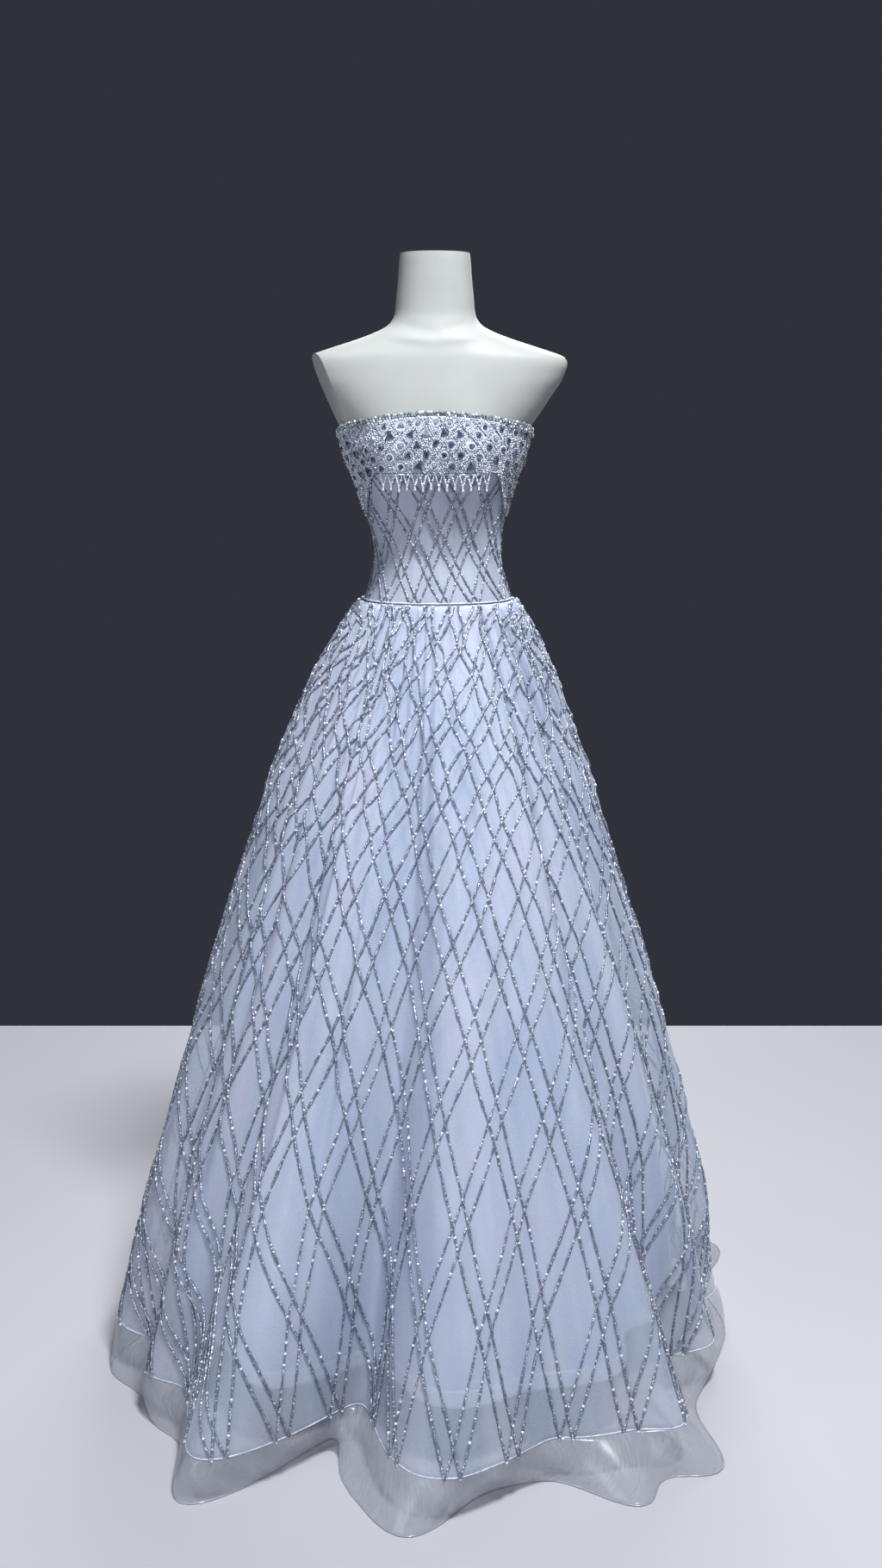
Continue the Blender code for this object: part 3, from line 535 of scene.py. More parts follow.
def stoneFinish(name, dark, light, roughness=0.06):
    made = finish(name, Coat_Weight=1.0, Coat_Roughness=0.03, Specular_IOR_Level=0.9)
    veins = noiseOn(made, placed(made), 160.0, 2.0)
    link(made, ramp(made, veins, ((0.38, dark), (0.68, light))), made.shader.inputs["Base Color"])
    link(made, spread(made, veins, roughness, roughness + 0.12), made.shader.inputs["Roughness"])
    return made.material


def metalFinish(name, color, roughness, brushed=(1.0, 1.0, 60.0)):
    made = finish(name, Metallic=1.0, Base_Color=(*color, 1.0))
    lines = noiseOn(made, placed(made, "Object", brushed), 30.0, 4.0)
    link(made, spread(made, lines, roughness - 0.07, roughness + 0.09), made.shader.inputs["Roughness"])
    shade = tuple(0.8 * c for c in color)
    link(made, ramp(made, lines, ((0.3, shade), (0.7, color))), made.shader.inputs["Base Color"])
    addBump(made, lines, 0.08, 0.0003)
    return made.material


finishes = dict(
    form=formFinish(),
    lining=satinFinish("lining_satin", (0.51, 0.59, 0.78), (0.40, 0.48, 0.70)),
    liningHem=satinFinish("lining_hem_satin", (0.62, 0.67, 0.78), (0.54, 0.59, 0.72), 0.34),
    bodice=satinFinish("bodice_cloth", (0.42, 0.46, 0.56), (0.33, 0.365, 0.47), 0.46),
    bandCloth=satinFinish("band_cloth", (0.50, 0.55, 0.64), (0.34, 0.39, 0.50), 0.5),
    piping=satinFinish("piping_satin", (0.66, 0.72, 0.86), (0.56, 0.62, 0.80), 0.34),
    tape=satinFinish("zip_tape", (0.40, 0.46, 0.64), (0.33, 0.39, 0.58), 0.6, 0.1),
    tulle=tulleFinish(),
    clear=clearFinish("clear_hem", 0.24, (0.50, 0.545, 0.62)),
    binding=clearFinish("hem_binding", 0.75, (0.46, 0.50, 0.58)),
    glitter=glitterFinish("glitter_thread", (0.13, 0.16, 0.23), (0.27, 0.32, 0.42)),
    paleGlitter=glitterFinish("pale_glitter_thread", (0.145, 0.17, 0.24), (0.27, 0.31, 0.40)),
    whiteBeads=beadFinish("white_beads", (0.50, 0.56, 0.66), (0.90, 0.92, 0.97), 0.14),
    sparks=beadFinish("spark_beads", (0.70, 0.76, 0.88), (1.0, 1.0, 1.0), 0.08, 0.3),
    slateBeads=beadFinish("slate_beads", (0.06, 0.07, 0.12), (0.26, 0.30, 0.40), 0.2, 0.3),
    darkStones=stoneFinish("dark_stones", (0.018, 0.024, 0.055), (0.07, 0.085, 0.15)),
    paleStones=stoneFinish("pale_stones", (0.16, 0.21, 0.30), (0.36, 0.42, 0.52)),
    edgeStones=stoneFinish("edge_stones", (0.09, 0.12, 0.13), (0.34, 0.40, 0.40), 0.12),
    steel=metalFinish("stand_steel", (0.55, 0.56, 0.58), 0.34),
    zipMetal=metalFinish("zip_metal", (0.62, 0.64, 0.68), 0.24, (40.0, 1.0, 1.0)),
)
print("finishes ready")


# Meshes
def addPiece(name, mesh, material=None, body="gown", replaced=()):
    piece = bpy.data.objects.new(name, mesh)
    bpy.context.scene.collection.objects.link(piece)
    if material is not None:
        mesh.materials.clear()
        mesh.materials.append(material)
    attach(piece, body)
    if replaced:
        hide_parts(*replaced)
    return piece


def gridMesh(name, points, uv=None, closed=False):
    rows, columns = points.shape[:2]
    index = np.arange(rows * columns).reshape(rows, columns)
    across = np.hstack([index, index[:, :1]]) if closed else index
    faces = np.stack([across[:-1, :-1], across[1:, :-1], across[1:, 1:], across[:-1, 1:]], axis=-1)
    mesh = bpy.data.meshes.new(name)
    mesh.from_pydata(points.reshape(-1, 3).tolist(), [], faces.reshape(-1, 4).tolist())
    if uv is not None:
        layer = mesh.uv_layers.new(name="cloth")
        order = np.empty(len(mesh.loops), dtype=np.int64)
        mesh.loops.foreach_get("vertex_index", order)
        layer.data.foreach_set("uv", uv.reshape(-1, 2)[order].ravel())
    mesh.shade_smooth()
    return mesh


def clothLayout(points):
    # UVs in metres: along each row, and down from the top
    steps = np.linalg.norm(np.diff(points, axis=1), axis=-1)
    along = np.concatenate([np.zeros((len(points), 1)), np.cumsum(steps, axis=1)], axis=1)
    along -= along[:, -1:] / 2
    return np.stack([along, np.broadcast_to(points[..., 2], along.shape)], axis=-1)


def clothShell(name, points, material, thickness, slot, replaced):
    mesh = gridMesh(name, points, clothLayout(points))
    azimuth = np.degrees(np.arctan2(points[..., 0], -points[..., 1]))
    mesh.attributes.new("azimuth", "FLOAT", "POINT").data.foreach_set("value", azimuth.ravel())
    piece = addPiece(name, mesh, material, "gown", replaced)
    wall = piece.modifiers.new("wall", "SOLIDIFY")
    wall.thickness = thickness
    wall.offset = -1.0
    return piece


def declareSheet(points):
    length = float(np.linalg.norm(np.diff(points, axis=0), axis=-1).sum(axis=0).max())
    width = float(np.linalg.norm(np.diff(points, axis=1), axis=-1).sum(axis=1).max())
    width, length = max(width, 0.0102), max(length, 0.0102)  # the narrowest strips have turned-in edges


def panelColumns(panel, count, radius, gap=0.0003):
    start, end = panels[panel]
    inset = math.degrees(gap / 2 / radius)
    return np.linspace(start + inset, end - inset, round(count * (end - start) / 360) + 1)


def outwardNormals(radiusAt, azimuth, height):
    turn, drop = 0.1, 0.001
    here = at(azimuth, radiusAt(azimuth, height), height)
    along = at(azimuth + turn, radiusAt(azimuth + turn, height), height) - here
    down = at(azimuth, radiusAt(azimuth, height - drop), height - drop) - here
    outward = np.cross(down, along)
    return outward / np.linalg.norm(outward, axis=-1, keepdims=True)


# Geometry Nodes
def newTree(name, inputs):
    tree = bpy.data.node_groups.new(name, "GeometryNodeTree")
    tree.interface.new_socket("Geometry", in_out="INPUT", socket_type="NodeSocketGeometry")
    tree.interface.new_socket("Geometry", in_out="OUTPUT", socket_type="NodeSocketGeometry")
    for label, kind in inputs.items():
        tree.interface.new_socket(label, in_out="INPUT", socket_type="NodeSocket" + kind)
    given = tree.nodes.new("NodeGroupInput")
    result = tree.nodes.new("NodeGroupOutput")
    return tree, given, result


def treeNode(tree, kind, links=(), **values):
    added = tree.nodes.new(kind)
    for key, value in values.items():
        if key in added.inputs:
            added.inputs[key].default_value = value
        else:
            setattr(added, key, value)
    for target, source in dict(links).items():
        tree.links.new(source, added.inputs[target])
    return added


def bakeTree(source, tree, values, name):
    modifier = source.modifiers.new(name, "NODES")
    modifier.node_group = tree
    for item in tree.interface.items_tree:
        if item.in_out == "INPUT" and item.name in values:
            modifier[item.identifier] = values[item.name]
    bpy.context.view_layer.update()
    evaluated = source.evaluated_get(bpy.context.evaluated_depsgraph_get())
    mesh = bpy.data.meshes.new_from_object(evaluated)
    mesh.name = name
    source.modifiers.remove(modifier)
    bpy.data.objects.remove(source)
    return mesh


def pathObject(name, paths):
    # loose edges through each path's points
    vertices, edges = [], []
    for path in paths:
        first = len(vertices)
        vertices += [tuple(p) for p in path]
        edges += [(first + i, first + i + 1) for i in range(len(path) - 1)]
    mesh = bpy.data.meshes.new(name)
    mesh.from_pydata(vertices, edges, [])
    made = bpy.data.objects.new(name, mesh)
    bpy.context.scene.collection.objects.link(made)
    return made


def pointObject(name, points, normals, **numbers):
    mesh = bpy.data.meshes.new(name)
    mesh.from_pydata([tuple(p) for p in points], [], [])
    facing = mesh.attributes.new("facing", "FLOAT_VECTOR", "POINT")
    facing.data.foreach_set("vector", np.asarray(normals, dtype=np.float32).ravel())
    for label, values in numbers.items():
        layer = mesh.attributes.new(label, "FLOAT", "POINT")
        layer.data.foreach_set("value", np.asarray(values, dtype=np.float32))
    made = bpy.data.objects.new(name, mesh)
    bpy.context.scene.collection.objects.link(made)
    return made


def beadStringTree():
    # a knotty glitter thread along each path, with single beads sewn on here and there
    labels = {
        "Thread Radius": "Float",
        "Thread Step": "Float",
        "Bead Step": "Float",
        "Bead Radius": "Float",
        "Seed": "Int",
        "Thread Finish": "Material",
        "Bead Finish": "Material",
    }
    tree, given, result = newTree("bead_string", labels)
    value = given.outputs
    curve = treeNode(tree, "GeometryNodeMeshToCurve", {"Mesh": value["Geometry"]})
    steps = {"Curve": curve.outputs[0], "Length": value["Thread Step"]}
    thread = treeNode(tree, "GeometryNodeResampleCurve", steps, mode="LENGTH")
    lumps = treeNode(tree, "GeometryNodeInputPosition")
    noisy = treeNode(tree, "ShaderNodeTexNoise", {"Vector": lumps.outputs[0]}, Scale=170.0, Detail=1.0)
    thick = treeNode(tree, "ShaderNodeMapRange", {"Value": noisy.outputs["Fac"]})
    for socket, number in zip(thick.inputs[1:5], (0.35, 0.65, 0.55, 1.35)):
        socket.default_value = number
    factors = {0: thick.outputs["Result"], 1: value["Thread Radius"]}
    sized = treeNode(tree, "ShaderNodeMath", factors, operation="MULTIPLY")
    radii = {"Curve": thread.outputs[0], "Radius": sized.outputs[0]}
    uneven = treeNode(tree, "GeometryNodeSetCurveRadius", radii)
    profile = treeNode(tree, "GeometryNodeCurvePrimitiveCircle", Resolution=4, Radius=1.0)
    curves = {"Curve": uneven.outputs[0], "Profile Curve": profile.outputs[0]}
    tube = treeNode(tree, "GeometryNodeCurveToMesh", curves)
    if "Scale" in tube.inputs:
        tree.links.new(sized.outputs[0], tube.inputs["Scale"])
    coated = {"Geometry": tube.outputs[0], "Material": value["Thread Finish"]}
    tubeLook = treeNode(tree, "GeometryNodeSetMaterial", coated)
    steps = {"Curve": curve.outputs[0], "Length": value["Bead Step"]}
    spots = treeNode(tree, "GeometryNodeCurveToPoints", steps, mode="LENGTH")
    ball = treeNode(tree, "GeometryNodeMeshIcoSphere", {"Radius": value["Bead Radius"]}, Subdivisions=1)
    size = treeNode(tree, "FunctionNodeRandomValue", {"Seed": value["Seed"]})
    size.inputs[2].default_value, size.inputs[3].default_value = 0.55, 1.25
    drawn = dict(data_type="BOOLEAN", Probability=0.72)
    kept = treeNode(tree, "FunctionNodeRandomValue", {"Seed": value["Seed"]}, **drawn)
    placedBeads = {
        "Points": spots.outputs[0],
        "Instance": ball.outputs[0],
        "Scale": size.outputs[1],
        "Selection": kept.outputs[3],
    }
    beads = treeNode(tree, "GeometryNodeInstanceOnPoints", placedBeads)
    whole = treeNode(tree, "GeometryNodeRealizeInstances", {"Geometry": beads.outputs[0]})
    coated = {"Geometry": whole.outputs[0], "Material": value["Bead Finish"]}
    beadLook = treeNode(tree, "GeometryNodeSetMaterial", coated)
    joined = treeNode(tree, "GeometryNodeJoinGeometry")
    for part in (beadLook, tubeLook):
        tree.links.new(part.outputs[0], joined.inputs[0])
    tree.links.new(joined.outputs[0], result.inputs[0])
    return tree


def facingTree():
    # one shape on every point, turned to face the point's outward direction
    labels = {"Shape": "Object", "Finish": "Material"}
    tree, given, result = newTree("facing_shapes", labels)
    value = given.outputs
    facing = treeNode(tree, "GeometryNodeInputNamedAttribute", data_type="FLOAT_VECTOR", Name="facing")
    size = treeNode(tree, "GeometryNodeInputNamedAttribute", data_type="FLOAT", Name="size")
    spin = treeNode(tree, "GeometryNodeInputNamedAttribute", data_type="FLOAT", Name="spin")
    spinVector = treeNode(tree, "ShaderNodeCombineXYZ", {"Z": spin.outputs[0]})
    ahead = treeNode(tree, "FunctionNodeAlignRotationToVector", {"Vector": facing.outputs[0]}, axis="Z")
    turns = {"Rotation": ahead.outputs[0], "Rotate By": spinVector.outputs[0]}
    turned = treeNode(tree, "FunctionNodeRotateRotation", turns, rotation_space="LOCAL")
    info = treeNode(tree, "GeometryNodeObjectInfo", {"Object": value["Shape"]})
    placedShapes = treeNode(
        tree,
        "GeometryNodeInstanceOnPoints",
        {
            "Points": value["Geometry"],
            "Instance": info.outputs["Geometry"],
            "Rotation": turned.outputs[0],
            "Scale": size.outputs[0],
        },
    )
    whole = treeNode(tree, "GeometryNodeRealizeInstances", {"Geometry": placedShapes.outputs[0]})
    coated = {"Geometry": whole.outputs[0], "Material": value["Finish"]}
    look = treeNode(tree, "GeometryNodeSetMaterial", coated)
    tree.links.new(look.outputs[0], result.inputs[0])
    return tree


beadString = beadStringTree()
facingShapes = facingTree()


def stringPiece(name, paths, sizes, slot, thread="glitter", beads="sparks", seed=1):
    values = {
        "Thread Radius": sizes["thread"],
        "Thread Step": sizes["threadStep"],
        "Bead Step": sizes["beadStep"],
        "Bead Radius": sizes["bead"],
        "Seed": seed,
        "Thread Finish": finishes[thread],
        "Bead Finish": finishes[beads],
    }
    mesh = bakeTree(pathObject(name, paths), beadString, values, name)
    mesh.shade_smooth()
    return addPiece(name, mesh)


def shapeObject(name, rings, tip=None):
    # a small solid from rings of points about Z, bottom to top, closed at both ends
    work = bmesh.new()
    made = [[work.verts.new(point) for point in ring] for ring in rings]
    for lower, upper in zip(made, made[1:]):
        for i in range(len(lower)):
            j = (i + 1) % len(lower)
            work.faces.new((lower[i], lower[j], upper[j], upper[i]))
    work.faces.new(made[0][::-1])
    if tip is None:
        work.faces.new(made[-1])
    else:
        top = work.verts.new(tip)
        for i in range(len(made[-1])):
            work.faces.new((made[-1][i], made[-1][(i + 1) % len(made[-1])], top))
    mesh = bpy.data.meshes.new(name)
    work.to_mesh(mesh)
    work.free()
    shapeMade = bpy.data.objects.new(name, mesh)
    bpy.context.scene.collection.objects.link(shapeMade)
    return shapeMade


def scatterPiece(name, shapeMade, material, points, normals, sizes, spins, body="gown"):
    source = pointObject(name, points, normals, size=sizes, spin=spins)
    mesh = bakeTree(source, facingShapes, {"Shape": shapeMade, "Finish": finishes[material]}, name)
    return addPiece(name, mesh, body=body)


# Dress form
def makeForm():
    size = dict(columns=160, rows=220, top=1.740, bottom=0.930, edge=0.004)
    heights = np.linspace(size["top"], size["bottom"], size["rows"])[:, None]
    azimuths = np.linspace(0, 360, size["columns"], endpoint=False)[None, :]
    radii = formRadius(azimuths, heights)
    # collarbones and the hollow between them, no deeper than a finger's width
    for side in (-1, 1):
        line = 1.598 + 0.010 * np.abs(turnBetween(azimuths, 0.0)) / 60.0
        along = bump(turnBetween(azimuths, side * 34.0), 26.0)
        radii = radii + 0.0022 * along * bump(heights - line, 0.007)
        radii = radii - 0.0020 * along * bump(heights - line - 0.016, 0.008)
    ends = np.array([size["edge"] * t for t in (1.0, 0.6, 0.2, 0.0)])
    radii[:4] -= ends[:, None] ** 1.4
    radii[-4:] -= ends[::-1, None] ** 1.4
    mesh = gridMesh("form", at(azimuths, radii, heights), closed=True)
    work = bmesh.new()
    work.from_mesh(mesh)
    work.verts.ensure_lookup_table()
    count = size["columns"]
    work.faces.new([work.verts[i] for i in range(count)])
    work.faces.new([work.verts[len(work.verts) - count + i] for i in range(count)][::-1])
    bmesh.ops.recalc_face_normals(work, faces=work.faces)
    work.to_mesh(mesh)
    work.free()
    form = bpy.data.objects.new("form", mesh)
    bpy.context.scene.collection.objects.link(form)
    cutArms(form)
    bpy.context.view_layer.update()
    evaluated = form.evaluated_get(bpy.context.evaluated_depsgraph_get())
    cut = bpy.data.meshes.new_from_object(evaluated)
    bpy.data.objects.remove(form)
    cut.shade_smooth()
    cut.set_sharp_from_angle(angle=math.radians(38.0))
    return addPiece("dressForm", cut, finishes["form"], "gown", ["form_body"])


def cutArms(form):
    cut = dict(tip=(0.198, 1.579), underarm=(0.1545, 1.461), size=0.30, back=0.02)
    for side, turnedForward in ((-1, 13.0), (1, 7.0)):
        underarm = Vector((side * cut["underarm"][0], cut["back"], cut["underarm"][1]))
        rise = (cut["tip"][0] - cut["underarm"][0], cut["tip"][1] - cut["underarm"][1])
        up = Vector((side * rise[0], 0.0, rise[1])).normalized()
        turn = math.radians(turnedForward)
        along = Vector((side * math.sin(turn), math.cos(turn), 0.0))
        outward = up.cross(along).normalized()
        if outward.x * side < 0:
            outward.negate()
        work = bmesh.new()
        for corner in bmesh.ops.create_cube(work, size=1.0)["verts"]:
            across, lift, out = corner.co
            reach = 2 * across * along + (lift + 0.5) * up + (out + 0.5) * outward
            corner.co = underarm + cut["size"] * reach
        bmesh.ops.recalc_face_normals(work, faces=work.faces)
        mesh = bpy.data.meshes.new("arm")
        work.to_mesh(mesh)
        work.free()
        block = bpy.data.objects.new("arm", mesh)
        bpy.context.scene.collection.objects.link(block)
        trim = form.modifiers.new("arm", "BOOLEAN")
        trim.operation = "DIFFERENCE"
        trim.object = block
        bpy.context.view_layer.update()
        evaluated = form.evaluated_get(bpy.context.evaluated_depsgraph_get())
        solid = bpy.data.meshes.new_from_object(evaluated)
        form.modifiers.remove(trim)
        form.data = solid
        bpy.data.objects.remove(block)


makeForm()
print("dress form done")


# Stand
def turned(name, profile, sides, material, slot, replaced):
    azimuths = np.linspace(0, 360, sides, endpoint=False)[None, :]
    radii = np.array([r for r, z in profile])[:, None]
    heights = np.array([z for r, z in profile])[:, None]
    mesh = gridMesh(name, at(azimuths, radii, heights), closed=True)
    work = bmesh.new()
    work.from_mesh(mesh)
    bmesh.ops.remove_doubles(work, verts=work.verts, dist=1e-6)
    bmesh.ops.recalc_face_normals(work, faces=work.faces)
    work.to_mesh(mesh)
    work.free()
    mesh.shade_smooth()
    mesh.set_sharp_from_angle(angle=math.radians(35.0))
    return addPiece(name, mesh, material, "gown", replaced)


stand = dict(
    pole=0.016,
    poleTop=0.9297,
    poleLow=0.0453,
    base=0.170,
    plate=0.008,
    edge=0.003,
    socket=0.024,
    neck=0.045,
)
poleProfile = (
    (0.0, stand["poleTop"]),
    (stand["pole"], stand["poleTop"]),
    (stand["pole"], 0.5),
    (stand["pole"], stand["poleLow"]),
    (0.0, stand["poleLow"]),
)
baseProfile = (
    (0.0, stand["neck"]),
    (stand["socket"] - 0.002, stand["neck"]),
    (stand["socket"], stand["neck"] - 0.002),
    (stand["socket"], stand["plate"] + 0.003),
    (stand["socket"] + 0.003, stand["plate"]),
    (stand["base"] - stand["edge"], stand["plate"]),
    (stand["base"] - 0.0009, stand["plate"] - 0.0009),
    (stand["base"], stand["plate"] - stand["edge"]),
    (stand["base"], 0.0006),
    (stand["base"] - 0.0006, 0.0),
    (0.0, 0.0),
)
turned("standPole", poleProfile, 64, finishes["steel"], "stand_metal", ["stand_pole"])
turned("standBase", baseProfile, 128, finishes["steel"], "stand_metal", ["stand_base"])
print("stand done")


# Bodice
def makeBodice():
    size = dict(columns=300, rows=90, low=1.1883)
    for panel in panels:
        azimuths = panelColumns(panel, size["columns"], 0.1)[None, :]
        share = np.linspace(0, 1, size["rows"])[:, None]
        top = neckline(azimuths)
        heights = top + (size["low"] - top) * share
        # a little slack in the cloth below the band
        slack = 0.0006 * np.sin(np.radians(9 * azimuths) + 34.0 * heights) * bump(heights - 1.25, 0.05)
        points = at(azimuths, bodiceRadius(azimuths, heights) + np.abs(slack), heights)
        name = "bodice_" + panel
        piece = clothShell("satin_" + name, points, finishes["bodice"], 0.0011, "bodice_cloth", [name])
        declareSheet(points)


makeBodice()


def cutToPanels(paths):
    # splits each path where it crosses from one panel to the next
    pieces = {panel: [] for panel in panels}
    for azimuths, points in paths:
        azimuths = (azimuths + 90.0) % 360.0 - 90.0
        owner = np.select([azimuths < 90.0, azimuths < 180.0], [0, 1], 2)
        breaks = [0, *(np.nonzero(np.diff(owner))[0] + 1), len(owner)]
        for start, end in zip(breaks, breaks[1:]):
            if end - start > 2:
                pieces[list(panels)[owner[start]]].append(points[start:end])
    return pieces


def bodiceTrellis():
    size = dict(cells=13, row=0.051, twin=0.0066, lift=0.0010, step=0.004, top=1.452, low=1.1895)
    heights = np.arange(size["top"], size["low"], -size["step"])
    heights = np.append(heights, size["low"])
    paths = []
    for cell in range(size["cells"]):
        for side in (-1, 1):
            for twin in (-1, 1):
                rise = side * (heights - size["low"]) / (2 * size["row"])
                turn = 360.0 / size["cells"] * (cell + 0.31 + rise)
                turn = turn - 28.0 * (heights - size["low"])
                radius = bodiceRadius(turn, heights)
                turn = turn + np.degrees(twin * size["twin"] / radius) + 0.35 * np.sin(heights * 70 + cell)
                kept = heights < neckline(turn) - 0.004
                turn, level = turn[kept], heights[kept]
                paths.append((turn, at(turn, bodiceRadius(turn, level) + size["lift"], level)))
    sizes = dict(thread=0.0018, threadStep=0.0032, beadStep=0.0130, bead=0.0016)
    for panel, found in cutToPanels(paths).items():
        stringPiece("bodiceTrellis_" + panel, found, sizes, "bodice_cloth", "paleGlitter", seed=5)


bodiceTrellis()
print("bodice done")


# Lining skirt
def makeLining():
    size = dict(columns=300, rows=90, top=1.1873, low=0.090, hem=0.023)
    heights = np.linspace(size["top"], size["low"], size["rows"])[:, None]
    for panel in panels:
        azimuths = panelColumns(panel, size["columns"], 0.4)[None, :]
        points = at(azimuths, liningRadius(azimuths, heights), heights)
        name = "lining_" + panel
        piece = clothShell("satin_" + name, points, finishes["lining"], 0.0010, "lining_satin", [name])
        declareSheet(points)
        turnUp = np.linspace(size["low"] + size["hem"], size["low"], 6)[:, None]
        folded = at(azimuths, liningRadius(azimuths, turnUp) + 0.0008, turnUp)
        hem = clothShell("liningHem_" + panel, folded, finishes["liningHem"], 0.0006, "lining_satin", [])
        declareSheet(folded)


makeLining()
print("lining done")


# Overlay skirt
overlayCut = dict(columns=540, rows=150, top=1.1877, low=0.062)


def makeOverlay():
    size = overlayCut
    heights = np.linspace(size["top"], size["low"], size["rows"])[:, None]
    made = {}
    for panel in panels:
        azimuths = panelColumns(panel, size["columns"], 0.4)[None, :]
        points = at(azimuths, overlayRadius(azimuths, heights), heights)
        name = "overlay_" + panel
        piece = clothShell("tulle_" + name, points, finishes["tulle"], 0.0005, "overlay_tulle", [name])
        made[panel] = (piece, points)
    return made


# height of each row of crossings, the cell's width there, where its nodes sit, the twin lines' gap
trellisRows = (
    (0.060, 0.094, 0.0234, 0.0210),
    (0.225, 0.093, 0.0258, 0.0210),
    (0.359, 0.0905, 0.0361, 0.0212),
    (0.482, 0.084, 0.0480, 0.0222),
    (0.590, 0.0775, 0.0576, 0.0232),
    (0.686, 0.074, 0.0640, 0.0242),
    (0.773, 0.0715, 0.0688, 0.0248),
    (0.854, 0.066, 0.0710, 0.0240),
    (0.918, 0.062, 0.0780, 0.0220),
    (0.978, 0.058, 0.0810, 0.0200),
    (1.034, 0.054, 0.0840, 0.0175),
    (1.087, 0.050, 0.0860, 0.0155),
    (1.138, 0.045, 0.0880, 0.0135),
    (1.1855, 0.040, 0.0900, 0.0115),
)
trellis = dict(cells=26, lift=0.0014, perRow=10, wobble=0.0010, looser=0.0022)


def overlayTrellis(panel):
    # lines run straight in the flat cloth, so they crowd together where it folds
    start, end = panels[panel]
    rows = np.linspace(0, len(trellisRows) - 1, (len(trellisRows) - 1) * trellis["perRow"] + 1)
    marks = range(len(trellisRows))
    heights, width, shift, gap = (np.interp(rows, marks, column) for column in zip(*trellisRows))
    fine = np.linspace(start + 0.06, end - 0.06, 721)
    ring = at(fine[None, :], overlayRadius(fine[None, :], heights[:, None]), heights[:, None])
    steps = np.linalg.norm(np.diff(ring, axis=1), axis=-1)
    length = np.concatenate([np.zeros((len(rows), 1)), np.cumsum(steps, axis=1)], axis=1)
    length -= length[:, len(fine) // 2][:, None]
    paths = []
    for cell in range(-trellis["cells"], trellis["cells"] + 1):
        for side in (-1, 1):
            for twin in (-0.5, 0.5):
                loose = trellis["wobble"] + trellis["looser"] * smoothStep((heights - 0.75) / 0.3)
                long = np.sin(rows * 2.3 + cell * 1.7 + twin)
                short = 0.6 * np.sin(rows * 5.1 + cell * 2.9 - twin)
                wobble = loose * (long + short)
                place = shift + width * (cell + side * rows / 2) + twin * gap + wobble
                inside = (place > length[:, 0]) & (place < length[:, -1])
                breaks = np.nonzero(np.diff(inside.astype(int)))[0] + 1
                for run in np.split(np.arange(len(rows)), breaks):
                    if inside[run[0]] and len(run) > 2:
                        turn = np.array([np.interp(place[i], length[i], fine) for i in run])
                        points = at(turn, overlayRadius(turn, heights[run]), heights[run])
                        lift = trellis["lift"] * outwardNormals(overlayRadius, turn, heights[run])
                        paths.append(points + lift)
    return paths


overlayPieces = makeOverlay()
stringSizes = dict(thread=0.0019, threadStep=0.0056, beadStep=0.0150, bead=0.0021)
edgeSizes = dict(thread=0.0009, threadStep=0.0050, beadStep=9.0, bead=0.0001)
for panel, (tulle, cutPoints) in overlayPieces.items():
    beadLines = stringPiece("trellis_" + panel, overlayTrellis(panel), stringSizes, "overlay_tulle", seed=7)
    looks = ("overlay_tulle", "piping", "piping")
    rolledEdge = stringPiece("rolledEdge_" + panel, [cutPoints[-1]], edgeSizes, *looks)
    declareSheet(cutPoints)
print("overlay and its trellis done")


# Clear stiff hem
def makeHem():
    size = dict(columns=900, rows=16, top=0.0617, low=0.0009, binding=0.0011)
    share = np.linspace(0, 1, size["rows"])[:, None]
    heights = size["top"] + (size["low"] - size["top"]) * share
    for panel in panels:
        azimuths = panelColumns(panel, size["columns"], 0.5)[None, :]
        points = at(azimuths, hemRadius(azimuths, share), heights)
        name = "clear_hem_" + panel
        braid = (finishes["clear"], hemRule["thickness"], "clear_hem", [name])
        piece = clothShell("braid_" + name, points, *braid)
        edge = points[-1].copy()
        edge[:, 2] = size["binding"]
        sizes = dict(thread=size["binding"], threadStep=0.006, beadStep=9.0, bead=0.0001)
        binding = stringPiece("hemBinding_" + panel, [edge], sizes, "clear_hem", "binding", "binding")
        declareSheet(points)


makeHem()
print("hem done")


# Jewelled band
band = dict(columns=360, rows=40, topInset=0.006, zip=4.87, stoneTurn=12.0, stoneRow=0.0165, firstRow=0.0165)


def bandPanels():
    for panel, (start, end) in panels.items():
        first = start + (band["zip"] if start == 180.0 else 0.1)
        last = end - (band["zip"] if end == 180.0 else 0.1)
        yield panel, first, last


def makeBand():
    made = {}
    share = np.linspace(0, 1, band["rows"])[:, None]
    for panel, first, last in bandPanels():
        azimuths = np.linspace(first, last, round(band["columns"] * (last - first) / 360))[None, :]
        top = neckline(azimuths) - band["topInset"]
        heights = top + (bandEdge(azimuths) - top) * share
        points = at(azimuths, bandTop(azimuths, heights), heights)
        name = "jewel_band_" + panel
        cloth = (finishes["bandCloth"], 0.0012, "band_beads", [name])
        made[panel] = clothShell("cloth_" + name, points, *cloth)
        declareSheet(points)
    return made


def ovalRings(width, depth, height, sides, levels, power=1.0, turn=0.0):
    rings = []
    for share, lift in levels:
        ring = []
        for i in range(sides):
            angle = 2 * math.pi * i / sides + turn
            across = width / 2 * share * math.cos(angle)
            along = depth / 2 * share * math.sin(angle) * power
            ring.append((across, along, height * lift))
        rings.append(ring)
    return rings


